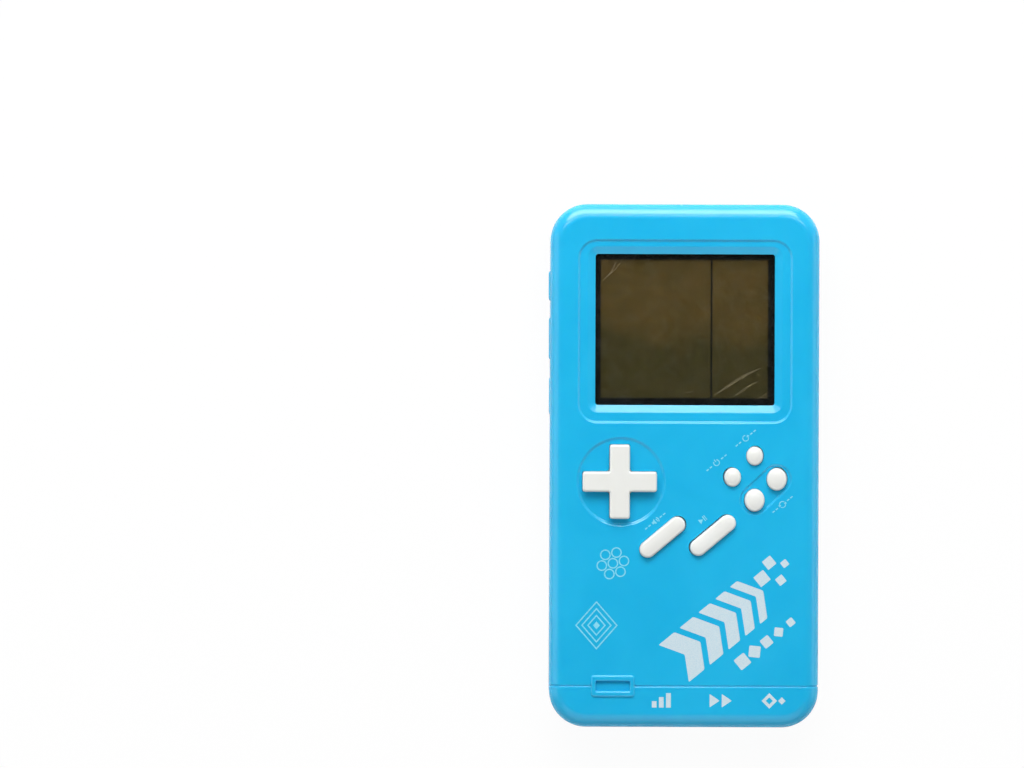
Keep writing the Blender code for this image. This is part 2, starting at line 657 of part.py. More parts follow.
def cut_dpad_hole(shell):
    radius = DPAD_SPAN / 2 + DPAD_RECESS_MARGIN
    depth = DPAD_RECESS_DEPTH
    at = (DPAD_X + DPAD_RECESS_SHIFT, DPAD_Y, FACE_Z - depth)
    cut(shell, cylinder("dpad_recess", radius - depth, 2 * depth, at, steps=40, top_radius=radius + depth))
    cut(shell, cross_block("dpad_hole", DPAD_SPAN + 2 * DPAD_PLAY, DPAD_ARM + 2 * DPAD_PLAY, 2 * FRONT_WALL,
                           (DPAD_X, DPAD_Y, FACE_Z - 1.5 * FRONT_WALL), corner=DPAD_CORNER))


def round_key_places():
    """Name, place and radius of each round key."""
    places = []
    for name, direction, radius in ROUND_KEYS:
        x, y = from_side(direction, KEY_PITCH)
        places.append((name, KEYS_X + x, KEYS_Y + y, radius))
    return places


def cut_round_key_holes(shell):
    places = round_key_places()
    (_, ax, ay, _), (_, bx, by, _) = places[2:]
    length = math.hypot(ax - bx, ay - by) + 2 * KEY_RECESS_RADIUS
    cut(shell, stadium("key_recess", length, 2 * KEY_RECESS_RADIUS, 2 * KEY_RECESS_DEPTH,
                       ((ax + bx) / 2, (ay + by) / 2, FACE_Z - KEY_RECESS_DEPTH),
                       turn=math.atan2(ay - by, ax - bx)))
    for name, x, y, radius in places:
        hole = cylinder(f"{name}_hole", radius + KEY_PLAY, 2 * FRONT_WALL, (x, y, FACE_Z - 1.5 * FRONT_WALL))
        hole.scale = (1, oval_with_play(radius), 1)
        cut(shell, hole)


def oval_with_play(radius):
    """Height over width of a round key's hole, so that the play is the same all round."""
    return (radius * KEY_OVAL + KEY_PLAY) / (radius + KEY_PLAY)


def pill_places():
    """Name and centre of each long key."""
    places = []
    for name, side in PILL_KEYS:
        x, y = from_side(PILL_SLOPE, side * PILL_PITCH / 2)
        places.append((name, (PILL_SHIFT + x, PILL_Y + y)))
    return places


def add_lower_trim(shell):
    """The groove across the face and down both sides, and the small frame that crosses it."""
    y = GROOVE_FROM_END - TOP_Y
    rim = PARTING_HEIGHT - SEAM_GAP
    band = tray("groove", rim, FACE_Z, 2 * GROOVE_DEPTH, 0, "bottom")
    slab = block("groove_slab", (2 * BODY_WIDTH, GROOVE_WIDTH, 2 * FACE_Z), (0, y, -FACE_Z / 2))
    boolean(band, slab, "INTERSECT")
    cut(shell, band)
    x = FRAME_FROM_SIDE - BODY_WIDTH / 2
    height = FRAME_RISE + FRONT_WALL / 2
    join(shell, block("frame", (FRAME_LENGTH, FRAME_HEIGHT, height), (x, y, FACE_Z - FRONT_WALL / 2),
                      corner=FRAME_CORNER, top=FRAME_RISE / 2, edge_steps=2))
    pocket = (FRAME_LENGTH - 2 * FRAME_BORDER_X, FRAME_HEIGHT - 2 * FRAME_BORDER_Y, FACE_Z)
    cut(shell, block("frame_pocket", pocket, (x, y, FACE_Z - FRAME_POCKET_DEPTH), corner=FRAME_CORNER / 2))


def rear_shell():
    shell = tray("rear_shell", 0.0, PARTING_HEIGHT, REAR_WALL, -1, "top", "blue_plastic")
    add_tongue(shell)
    add_rear_bosses(shell)
    add_battery_bay(shell)
    add_speaker_grille(shell)


def add_tongue(shell):
    """A rib inside the rim that reaches into the front shell."""
    half_x, half_y = BODY_WIDTH / 2, BODY_LENGTH / 2
    foot = PARTING_HEIGHT - 2 * TONGUE_HEIGHT
    outer = FRONT_WALL + GAP
    inner = outer + TONGUE_WALL
    root = REAR_WALL - GAP

    def band(inset, low, high):
        return [ring_points(half_x - inset, half_y - inset, CORNER_RADIUS - inset, z, CORNER_STEPS)
                for z in (low, high)]

    join(shell, loft("tongue_root", band(root, foot, PARTING_HEIGHT - GAP), (0, 0, 0)))
    join(shell, loft("tongue", band(outer, foot + GAP, PARTING_HEIGHT + TONGUE_HEIGHT), (0, 0, 0)))
    cut(shell, loft("tongue_inside", band(inner, foot - GAP, PARTING_HEIGHT + 2 * TONGUE_HEIGHT), (0, 0, 0)))


def add_rear_bosses(shell):
    foot = REAR_WALL - BOSS_ROOT
    for i, (x, y) in enumerate(CASE_SCREWS):
        join(shell, cylinder(f"rear_boss_{i + 1}", BOSS_RADIUS, PARTING_HEIGHT - foot, (x, y, foot),
                             steps=BOSS_STEPS))
    for i, (x, y) in enumerate(CASE_SCREWS):
        cut(shell, cylinder(f"counterbore_{i + 1}", CASE_HEAD_RADIUS + GAP, 2 * COUNTERBORE_DEPTH,
                            (x, y, -COUNTERBORE_DEPTH), steps=BOSS_STEPS))
        cut(shell, cylinder(f"screw_way_{i + 1}", CASE_SCREW_RADIUS + SCREW_PLAY, 2 * PARTING_HEIGHT,
                            (x, y, -PARTING_HEIGHT / 2), steps=HOLE_STEPS))


def add_battery_bay(shell):
    """The ledge round the door, the box for the cells, and the door's slot with its side grooves."""
    rail = DOOR_HALF_WIDTH + TONGUE_REACH + GAP + RAIL_WALL
    ledge_low = (-rail, REAR_WALL - BOSS_ROOT - TOP_Y, REAR_WALL - GAP)
    ledge_high = (rail, DOOR_TOP_Y + GAP + RAIL_WALL, SEAT_Z + SEAT_WALL)
    join(shell, span_block("door_ledge", ledge_low, ledge_high))
    outer_x = BAY_HALF_WIDTH + BAY_WALL
    join(shell, span_block("bay_box", (-outer_x, BAY_BOTTOM_Y - BAY_WALL, SEAT_Z + GAP),
                           (outer_x, BAY_TOP_Y + BAY_WALL, BAY_CEILING_Z + BAY_WALL)))
    door_x = DOOR_HALF_WIDTH + GAP
    cut(shell, span_block("door_slot", (-door_x, -2 * TOP_Y, -SEAT_Z), (door_x, DOOR_TOP_Y + GAP, SEAT_Z)))
    cut(shell, span_block("bay_room", (-BAY_HALF_WIDTH, BAY_BOTTOM_Y, -SEAT_Z),
                          (BAY_HALF_WIDTH, BAY_TOP_Y, BAY_CEILING_Z)))
    groove_x = DOOR_HALF_WIDTH + TONGUE_REACH + GAP
    for i, y in enumerate(TONGUE_Y):
        top = y + TONGUE_LENGTH / 2 + GAP
        end = top - TONGUE_LENGTH - 2 * GAP - DOOR_TRAVEL
        groove = span_block(f"tongue_groove_{i + 1}", (-groove_x, end, TONGUE_LIP), (groove_x, top, SEAT_Z))
        cut(shell, groove)
        cut(shell, span_block(f"tongue_notch_{i + 1}", (-groove_x, end, -SEAT_Z),
                              (groove_x, end + TONGUE_LENGTH + 2 * GAP, SEAT_Z)))
    for i, y in enumerate(CELL_Y):
        way = cylinder(f"wire_way_{i + 1}", WIRE_RADIUS + GAP, 3 * BAY_WALL,
                       (-BAY_HALF_WIDTH + BAY_WALL, y, CELL_Z), steps=HOLE_STEPS)
        way.rotation_euler = (0, -math.pi / 2, 0)
        cut(shell, way)


def add_speaker_grille(shell):
    inner, outer = SPEAKER_RADIUS + GAP, SPEAKER_RADIUS + GAP + SPEAKER_RIM
    foot, top = REAR_WALL - BOSS_ROOT, REAR_WALL + SPEAKER_DEPTH / 2
    join(shell, turned("speaker_ring", [(outer, top), (outer, foot), (inner, foot), (inner, top)],
                       (0, SPEAKER_Y, 0), closed=True))
    reach = SPEAKER_RADIUS - 2 * GRILLE_SLOT_WIDTH
    for i in range(GRILLE_SLOTS):
        y = (i - (GRILLE_SLOTS - 1) / 2) * GRILLE_PITCH
        length = 2 * math.sqrt(reach ** 2 - y ** 2) + GRILLE_SLOT_WIDTH
        cut(shell, stadium(f"grille_{i + 1}", length, GRILLE_SLOT_WIDTH, 2 * REAR_WALL,
                           (0, SPEAKER_Y + y, -REAR_WALL / 2)))


def battery_door():
    """A plate cut from the body's own outer form, so its lower end follows the case's rounding."""
    centre_y = (DOOR_TOP_Y - TOP_Y) / 2
    mesh = block_mesh("battery_door", (BODY_WIDTH, BODY_LENGTH, 2 * EDGE_RADIUS), corner=CORNER_RADIUS,
                      bottom=EDGE_RADIUS, steps=CORNER_STEPS, edge_steps=EDGE_STEPS)
    mesh.transform(Matrix.Translation((0, -centre_y, 0)))
    door = add_object("battery_door", mesh, "blue_plastic", (0, centre_y, 0))
    outline = span_block("door_outline", (-DOOR_HALF_WIDTH, DOOR_TOP_Y - 1.5 * BODY_LENGTH, -SEAT_Z),
                         (DOOR_HALF_WIDTH, DOOR_TOP_Y, DOOR_THICKNESS), corner=DOOR_CORNER)
    boolean(door, outline, "INTERSECT")
    root = TONGUE_REACH
    low_z = DOOR_THICKNESS - TONGUE_THICKNESS
    for i, y in enumerate(TONGUE_Y):
        for side in (-1, 1):
            x = side * (DOOR_HALF_WIDTH + (TONGUE_REACH - root) / 2)
            join(door, block(f"tongue_{i + 1}_{'right' if side > 0 else 'left'}",
                             (TONGUE_REACH + root, TONGUE_LENGTH, TONGUE_THICKNESS - GAP / 3), (x, y, low_z)))
    grip_y = BAY_BOTTOM_Y
    for i in range(GRIP_GROOVES):
        cut(door, stadium(f"grip_{i + 1}", GRIP_LENGTH, GRIP_WIDTH, 2 * GRIP_DEPTH,
                          (0, grip_y - i * GRIP_PITCH, -GRIP_DEPTH)))


# ---------------------------------------------------------------------------------------------------
# Screws
# ---------------------------------------------------------------------------------------------------
def screw_set(prefix, places, seat_z, radius, length, head_radius, head_height):
    """Pan-head screws that point up, with the head's seat at seat_z. All copies share one mesh."""
    round_top = 0.3 * head_height
    profile = [(0, length), (0.4 * radius, length), (radius, length - 1.5 * radius), (radius, 0),
               (head_radius, 0), (head_radius, round_top - head_height),
               (head_radius - round_top, -head_height), (0, -head_height)]
    blank = turned(f"{prefix}_blank", profile, (0, 0, 0), steps=HOLE_STEPS)
    slot_width, slot_depth = 0.3 * head_radius, 0.5 * head_height
    for turn in range(2):
        cut(blank, block(f"{prefix}_slot_{turn + 1}", (1.3 * head_radius, slot_width, 2 * slot_depth),
                         (0, 0, -head_height - slot_depth), turn=turn * math.pi / 2))
    bpy.context.view_layer.update()
    evaluated = blank.evaluated_get(bpy.context.evaluated_depsgraph_get())
    mesh = bpy.data.meshes.new_from_object(evaluated)
    bpy.data.objects.remove(blank)
    for i, (x, y) in enumerate(places):
        add_object(f"{prefix}_{i + 1}", mesh, "steel", (x, y, seat_z))


# ---------------------------------------------------------------------------------------------------
# Screen stack
# ---------------------------------------------------------------------------------------------------
def screen_stack():
    lens = (WINDOW_WIDTH + 2 * LENS_BORDER, WINDOW_LENGTH + 2 * LENS_BORDER, LENS_THICKNESS)
    block("screen_lens", lens, (0, WINDOW_Y, LENS_Z), "clear_plastic", corner=WINDOW_RADIUS)
    film = (WINDOW_WIDTH - 2 * FILM_INSET, WINDOW_LENGTH - 2 * FILM_INSET, FILM_THICKNESS)
    block("screen_film", film, (0, WINDOW_Y, LENS_Z + LENS_THICKNESS + FILM_GAP), "clear_plastic",
          corner=WINDOW_RADIUS - FILM_INSET)
    width = 2 * LCD_HALF_WIDTH
    block("lcd_front_glass", (width, FRONT_GLASS_LENGTH, GLASS_THICKNESS), (0, WINDOW_Y, FRONT_GLASS_Z),
          "panel_glass")
    block("lcd_rear_glass", (width, REAR_GLASS_LENGTH, GLASS_THICKNESS), (0, WINDOW_Y, REAR_GLASS_Z),
          "panel_glass")
    block("lcd_reflector", (width, REAR_GLASS_LENGTH, REFLECTOR_THICKNESS), (0, WINDOW_Y, REFLECTOR_Z),
          "silver_film")
    lcd_holder()
    zebra_length = width - 2 * ZEBRA_END_INSET
    for name, side in (("zebra_strip_upper", 1), ("zebra_strip_lower", -1)):
        block(name, (zebra_length, ZEBRA_WIDTH, FRONT_GLASS_Z - GAP - HOLDER_Z),
              (0, WINDOW_Y + side * zebra_offset(), HOLDER_Z), "pink_elastomer")


def zebra_offset():
    return FRONT_GLASS_LENGTH / 2 - LCD_LEDGE / 2 + GAP / 3


def lcd_holder():
    """A frame as wide as the board: floor under the glass, wall round it, slots for the zebra strips."""
    height = REAR_GLASS_Z + GLASS_THICKNESS + HOLDER_RIM - HOLDER_Z
    at = (0, WINDOW_Y, HOLDER_Z)
    holder = block("lcd_holder", (2 * BOARD_HALF_WIDTH, 2 * HOLDER_HALF_LENGTH, height), at, "cream_plastic")
    pocket = (2 * (LCD_HALF_WIDTH + GAP), FRONT_GLASS_LENGTH + 2 * GAP, height)
    cut(holder, block("glass_pocket", pocket, (0, WINDOW_Y, HOLDER_FLOOR_Z)))
    middle = (WINDOW_WIDTH - 2 * HOLDER_WALL, WINDOW_LENGTH - 2 * HOLDER_WALL, 3 * HOLDER_FLOOR)
    cut(holder, block("holder_window", middle, (0, WINDOW_Y, HOLDER_Z - HOLDER_FLOOR)))
    slot = (2 * (LCD_HALF_WIDTH - ZEBRA_END_INSET + GAP), ZEBRA_WIDTH + 2 * GAP, 3 * HOLDER_FLOOR)
    for side in (-1, 1):
        cut(holder, block(f"zebra_slot_{side + 2}", slot,
                          (0, WINDOW_Y + side * zebra_offset(), HOLDER_Z - HOLDER_FLOOR)))


# ---------------------------------------------------------------------------------------------------
# Board and what is soldered to it
# ---------------------------------------------------------------------------------------------------
def main_board():
    board = span_block("main_board", (-BOARD_HALF_WIDTH, BOARD_BOTTOM_Y, BOARD_REAR_Z),
                       (BOARD_HALF_WIDTH, BOARD_TOP_Y, BOARD_FRONT_Z), "board_laminate", corner=0.0015)
    for i, (x, y) in enumerate(BOARD_POSTS):
        cut(board, cylinder(f"board_hole_{i + 1}", BOARD_SCREW_RADIUS + SCREW_PLAY, 3 * BOARD_THICKNESS,
                            (x, y, BOARD_REAR_Z - BOARD_THICKNESS), steps=HOLE_STEPS))


def hanging(name, profile, at, slot, steps=ROUND_STEPS):
    """A turned piece under the board: the profile's heights count down from the board's rear face."""
    under = BOARD_REAR_Z - GAP
    flipped = [(r, -z) for r, z in profile]
    return turned(name, flipped, (*at, under), slot, steps=steps)


def board_components():
    angles = [math.radians(a) for a in (0, 30, 55, 75)]
    dome = [(CHIP_RADIUS * math.cos(a), CHIP_HEIGHT * math.sin(a)) for a in angles]
    hanging("chip_blob", [(0, 0)] + dome + [(0, CHIP_HEIGHT)], (0, DPAD_Y), "black_epoxy")
    bevel = 0.1 * CAN_RADIUS
    can = [(0, 0), (CAN_RADIUS, 0), (CAN_RADIUS, CAN_HEIGHT - bevel), (CAN_RADIUS - bevel, CAN_HEIGHT),
           (0, CAN_HEIGHT)]
    hanging("electrolytic_capacitor", can, (CAN_X, PILL_Y + COMPONENT_RISE), "black_epoxy", BOSS_STEPS)
    disc = [(0, 0), (DISC_RADIUS, 0), (DISC_RADIUS, 0.7 * DISC_RADIUS), (0.7 * DISC_RADIUS, DISC_RADIUS),
            (0, DISC_RADIUS)]
    hanging("ceramic_capacitor", disc, (DISC_X, PILL_Y + COMPONENT_RISE), "component", BOSS_STEPS)
    under = BOARD_REAR_Z - GAP
    resistor = (RESISTOR_LENGTH, RESISTOR_THICKNESS, RESISTOR_THICKNESS)
    for name, side in (("timing_resistor", -1), ("base_resistor", 1)):
        block(name, resistor, (side * RESISTOR_X, PILL_Y + RESISTOR_RISE, under - RESISTOR_THICKNESS),
              "component", corner=RESISTOR_THICKNESS / 4, steps=2)
    block("speaker_transistor", TRANSISTOR_SIZE, (0, PILL_Y - TRANSISTOR_DROP, under - TRANSISTOR_SIZE[2]),
          "black_epoxy", corner=TRANSISTOR_SIZE[1] / 3)


# ---------------------------------------------------------------------------------------------------
# Membranes and keys
# ---------------------------------------------------------------------------------------------------
def add_domes(base, places, top_z):
    """Hollow silicone domes on a membrane, each with a carbon pill inside that closes a contact."""
    height = top_z - MEMBRANE_Z
    shoulder = height - 2 * DOME_WALL
    cavity_top = height - 3 * DOME_WALL
    inner = DOME_RADIUS - DOME_WALL
    for i, (x, y) in enumerate(places):
        profile = [(0, height), (DOME_TOP_RADIUS, height), (DOME_TOP_RADIUS, shoulder),
                   (DOME_RADIUS, MEMBRANE_THICKNESS), (DOME_RADIUS, DOME_WALL), (0, DOME_WALL)]
        join(base, turned(f"{base.name}_dome_{i + 1}", profile, (x, y, MEMBRANE_Z), steps=HOLE_STEPS))
    for i, (x, y) in enumerate(places):
        hollow = [(0, KEY_TRAVEL), (CARBON_RADIUS, KEY_TRAVEL), (CARBON_RADIUS, cavity_top),
                  (DOME_TOP_RADIUS - DOME_WALL / 2, cavity_top), (inner, MEMBRANE_THICKNESS),
                  (inner, -DOME_WALL), (0, -DOME_WALL)]
        cut(base, turned(f"{base.name}_hollow_{i + 1}", hollow, (x, y, MEMBRANE_Z), steps=HOLE_STEPS))


def dpad_membrane():
    radius = DPAD_DOME_OFFSET + DOME_RADIUS + GAP
    at = (DPAD_X, DPAD_Y, MEMBRANE_Z)
    base = cylinder("dpad_membrane", radius, MEMBRANE_THICKNESS, at, "grey_silicone")
    places = []
    for quarter in range(4):
        x, y = from_side(quarter * math.pi / 2, DPAD_DOME_OFFSET)
        places.append((DPAD_X + x, DPAD_Y + y))
    pillar = BALL_Z - BALL_RADIUS - GAP - MEMBRANE_Z
    join(base, cylinder("ball_pillar", DOME_RADIUS, pillar - DOME_WALL,
                        (DPAD_X, DPAD_Y, MEMBRANE_Z + DOME_WALL), steps=HOLE_STEPS))
    add_domes(base, places, DPAD_FLANGE_Z - GAP)


def round_key_membrane():
    places = [(x, y) for _, x, y, _ in round_key_places()]
    reach = math.sqrt(2) * KEY_PITCH + 2 * (DOME_RADIUS + GAP)
    base = block("round_key_membrane", (reach, reach, MEMBRANE_THICKNESS), (KEYS_X, KEYS_Y, MEMBRANE_Z),
                 "grey_silicone", turn=math.pi / 4, corner=DOME_RADIUS)
    add_domes(base, places, KEY_FLANGE_Z - GAP)


def pill_key_membrane():
    places = [place for _, place in pill_places()]
    margin = DOME_RADIUS + 2 * DOME_WALL
    base = stadium("pill_key_membrane", PILL_PITCH + 2 * margin, 2 * margin, MEMBRANE_THICKNESS,
                   (PILL_SHIFT, PILL_Y, MEMBRANE_Z), "grey_silicone", turn=PILL_SLOPE)
    add_domes(base, places, KEY_FLANGE_Z - GAP)


def dpad():
    """The cross with its flange and socket, origin at the ball on which it rocks."""
    foot = DPAD_FLANGE_TOP_Z - GAP
    at = (DPAD_X, DPAD_Y, BALL_Z)
    mesh_lift = Matrix.Translation((0, 0, foot - BALL_Z))
    key = cross_block("dpad_key", DPAD_SPAN, DPAD_ARM, FACE_Z + DPAD_RISE - foot, at, "white_plastic",
                      corner=DPAD_CORNER, top=KEY_EDGE)
    key.data.transform(mesh_lift)
    join(key, cylinder("dpad_flange", DPAD_FLANGE_RADIUS, FLANGE_THICKNESS, (DPAD_X, DPAD_Y, DPAD_FLANGE_Z)))
    join(key, cylinder("dpad_socket_wall", SOCKET_RADIUS, DPAD_FLANGE_Z + GAP - BALL_Z, at, steps=24))
    cut(key, sphere("dpad_socket", BALL_RADIUS + GAP, at))
    sphere("dpad_pivot_ball", BALL_RADIUS, at, "steel")


def round_keys():
    under = KEY_FLANGE_Z - FACE_Z
    flange_top = under + FLANGE_THICKNESS
    shoulder = ROUND_KEY_RISE - KEY_CROWN - KEY_EDGE
    for name, x, y, radius in round_key_places():
        edge = arc((radius - KEY_EDGE, shoulder), KEY_EDGE, 75, 0, 3)
        rim = radius + FLANGE_RIM
        profile = ([(0, ROUND_KEY_RISE), (0.5 * radius, ROUND_KEY_RISE - 0.25 * KEY_CROWN)] + edge
                   + [(radius, flange_top), (rim, flange_top), (rim, under), (0, under)])
        turned(name, profile, (x, y, FACE_Z), "white_plastic", steps=20, oval=KEY_OVAL)


def pill_keys():
    for name, (x, y) in pill_places():
        at = (x, y, FACE_Z)
        stem = FRONT_INNER_Z - GAP - FLANGE_THICKNESS / 2 - FACE_Z
        key = stadium(name, PILL_LENGTH, PILL_WIDTH, PILL_RISE - stem, at, "white_plastic", PILL_ANGLE,
                      top=KEY_EDGE)
        key.data.transform(Matrix.Translation((0, 0, stem)))
        join(key, stadium(f"{name}_flange", PILL_LENGTH + 2 * FLANGE_RIM, PILL_WIDTH + 2 * FLANGE_RIM,
                          FLANGE_THICKNESS, (x, y, KEY_FLANGE_Z), turn=PILL_ANGLE))


# ---------------------------------------------------------------------------------------------------
# Speaker: it faces the grille in the back
# ---------------------------------------------------------------------------------------------------
def speaker():
    at = (0, SPEAKER_Y, REAR_WALL + GAP)
    rim, neck = SPEAKER_RADIUS, MAGNET_RADIUS + 0.0004
    lip, sheet = 0.0016, 0.0005
    back = SPEAKER_DEPTH - GAP - MAGNET_HEIGHT
    hole = MAGNET_RADIUS / 2
    frame = [(hole, back), (neck, back), (rim - lip + sheet, 3 * sheet), (rim, 2 * sheet), (rim, 0),
             (rim - lip, 0), (rim - lip, 2 * sheet), (neck - sheet, back - sheet), (hole, back - sheet)]
    turned("speaker_frame", frame, at, "steel", closed=True)
    turned("speaker_magnet", [(0, SPEAKER_DEPTH), (MAGNET_RADIUS, SPEAKER_DEPTH),
                              (MAGNET_RADIUS, back + GAP), (0, back + GAP)], at, "ferrite", steps=24)
    mouth, dip, surround = rim - lip - GAP, back - sheet - 2 * GAP, 0.0012
    cone = [(0, dip / 2 + CONE_THICKNESS), (hole, dip), (mouth - surround, CONE_THICKNESS),
            (mouth, CONE_THICKNESS), (mouth, 0), (mouth - surround, 0),
            (hole, dip - CONE_THICKNESS), (0, dip / 2)]
    turned("speaker_cone", cone, at, "paper_cone")


def wires():
    under = BOARD_REAR_Z - GAP
    wires = (("battery_wire_black", "black_wire"), ("battery_wire_red", "red_wire"))
    for i, (name, slot) in enumerate(wires):
        start_x, y = -BAY_HALF_WIDTH - GAP, CELL_Y[i]
        out_x = -BAY_HALF_WIDTH - BAY_WALL - 4 * WIRE_RADIUS - (1 - i) * 3 * WIRE_RADIUS
        end_x = (2.4 + 3 * i) * WIRE_RADIUS - BOARD_HALF_WIDTH
        route = [(start_x, y, CELL_Z), (out_x + 3 * WIRE_RADIUS, y, CELL_Z),
                 (out_x, y + 4 * WIRE_RADIUS, CELL_Z - WIRE_RADIUS),
                 (out_x, BAY_TOP_Y + BAY_WALL, under - 4 * WIRE_RADIUS),
                 (end_x, BOARD_BOTTOM_Y - 2 * WIRE_RADIUS, under - 5 * WIRE_RADIUS),
                 (end_x, BOARD_BOTTOM_Y + 4 * WIRE_RADIUS, under - 3 * WIRE_RADIUS),
                 (end_x, BOARD_BOTTOM_Y + 6 * WIRE_RADIUS, under)]
        tube(name, smooth_route(route), WIRE_RADIUS, slot)
    frame_top = REAR_WALL + SPEAKER_DEPTH / 2 + 3 * WIRE_RADIUS
    for name, slot, side in (("speaker_wire_red", "red_wire", 1), ("speaker_wire_black", "black_wire", -1)):
        x = side * 6 * WIRE_RADIUS
        edge_y = SPEAKER_Y - SPEAKER_RADIUS + 2 * WIRE_RADIUS
        route = [(x, edge_y, frame_top), (x, edge_y - 5 * WIRE_RADIUS, frame_top + WIRE_RADIUS),
                 (1.2 * x, edge_y - 10 * WIRE_RADIUS, frame_top + WIRE_RADIUS / 2),
                 (1.3 * x, edge_y - 13 * WIRE_RADIUS, under - WIRE_RADIUS),
                 (1.3 * x, edge_y - 13.5 * WIRE_RADIUS, under)]
        tube(name, smooth_route(route), WIRE_RADIUS, slot)


# ---------------------------------------------------------------------------------------------------
# Batteries
# ---------------------------------------------------------------------------------------------------
def battery_cells():
    """The lower cell points its positive end to the right, the upper one to the left."""
    radius = CELL_DIAMETER / 2
    barrel = CELL_LENGTH - NUB_HEIGHT
    edge = 0.0004
    profile = [(0, CELL_LENGTH), (NUB_RADIUS, CELL_LENGTH), (NUB_RADIUS, barrel), (radius - edge, barrel),
               (radius, barrel - edge), (radius, edge), (radius - edge, 0), (0, 0)]
    nub_reach = BAY_HALF_WIDTH - GAP - PLATE_THICKNESS - GAP
    for i, side in enumerate((1, -1)):
        start = side * (nub_reach - CELL_LENGTH)
        cell = turned(f"battery_cell_{i + 1}", profile, (start, CELL_Y[i], CELL_Z), "cell_jacket", steps=20)
        cell.rotation_euler = (0, side * math.pi / 2, 0)


def contacts():
    plate_x = BAY_HALF_WIDTH - GAP - PLATE_THICKNESS / 2
    low = CELL_Z - PLATE_SIZE / 2
    for name, y in (("negative_plate", CELL_Y[0]), ("positive_plate", CELL_Y[1])):
        block(name, (PLATE_THICKNESS, PLATE_SIZE, PLATE_SIZE), (-plate_x, y, low), "steel")
    bridge = (PLATE_THICKNESS, CELL_Y[1] - CELL_Y[0] + PLATE_SIZE, PLATE_SIZE)
    block("bridge_plate", bridge, (plate_x, (CELL_Y[0] + CELL_Y[1]) / 2, low), "steel")
    per_turn = 8
    count = SPRING_TURNS * per_turn
    start_x = plate_x - PLATE_THICKNESS / 2 - GAP - SPRING_WIRE_RADIUS
    reach = SPRING_LENGTH - 2 * GAP - 2 * SPRING_WIRE_RADIUS
    wide, narrow = 0.42 * CELL_DIAMETER, 0.24 * CELL_DIAMETER
    for name, side, y in (("negative_spring", -1, CELL_Y[0]), ("bridge_spring", 1, CELL_Y[1])):
        points = []
        for i in range(count + 1):
            share = i / count
            radius = wide + (narrow - wide) * share
            angle = 2 * math.pi * i / per_turn
            points.append((side * (start_x - reach * share), y + radius * math.cos(angle),
                           CELL_Z + radius * math.sin(angle)))
        tube(name, points, SPRING_WIRE_RADIUS, "steel")


def smooth_by_angle(limit):
    """A node group that shades faces smooth and keeps edges over the limit sharp, after the Booleans."""
    group = bpy.data.node_groups.new("smooth_by_angle", "GeometryNodeTree")
    for direction in ("INPUT", "OUTPUT"):
        group.interface.new_socket("Geometry", in_out=direction, socket_type="NodeSocketGeometry")
    start = group.nodes.new("NodeGroupInput")
    end = group.nodes.new("NodeGroupOutput")
    angle = group.nodes.new("GeometryNodeInputMeshEdgeAngle")
    flat_enough = group.nodes.new("FunctionNodeCompare")
    flat_enough.operation = "LESS_EQUAL"
    flat_enough.inputs[1].default_value = limit
    edges = group.nodes.new("GeometryNodeSetShadeSmooth")
    edges.domain = "EDGE"
    faces = group.nodes.new("GeometryNodeSetShadeSmooth")
    group.links.new(angle.outputs["Unsigned Angle"], flat_enough.inputs[0])
    group.links.new(start.outputs[0], edges.inputs["Geometry"])
    group.links.new(flat_enough.outputs[0], edges.inputs["Shade Smooth"])
    group.links.new(edges.outputs[0], faces.inputs["Geometry"])
    group.links.new(faces.outputs[0], end.inputs[0])
    return group


def smooth_round_pieces():
    group = smooth_by_angle(math.radians(35))
    for obj in PARTS.objects:
        if obj.type == "MESH":
            obj.modifiers.new("smooth_by_angle", "NODES").node_group = group


clear_scene()
PARTS = new_collection("handheld_lcd_game")
TOOLS = new_collection("cutters")
front_shell()
rear_shell()
battery_door()
screw_set("case_screw", CASE_SCREWS, COUNTERBORE_DEPTH - GAP, CASE_SCREW_RADIUS, CASE_SCREW_LENGTH,
          CASE_HEAD_RADIUS, CASE_HEAD_HEIGHT)
screw_set("board_screw", BOARD_POSTS, BOARD_REAR_Z - GAP, BOARD_SCREW_RADIUS, BOARD_SCREW_LENGTH,
          BOARD_HEAD_RADIUS, BOARD_HEAD_HEIGHT)
screen_stack()
main_board()
board_components()
dpad_membrane()
round_key_membrane()
pill_key_membrane()
dpad()
round_keys()
pill_keys()
speaker()
wires()
battery_cells()
contacts()
smooth_round_pieces()
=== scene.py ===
"""Looks of the handheld LCD game: fine mouldings, keys, screen, prints, finishes, light and camera.

Everything is in metres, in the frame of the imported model: +Z out of the screen face, +Y to the top edge.
"""

import json
import math
import random

import bmesh
import bpy
from mathutils import Matrix, Vector

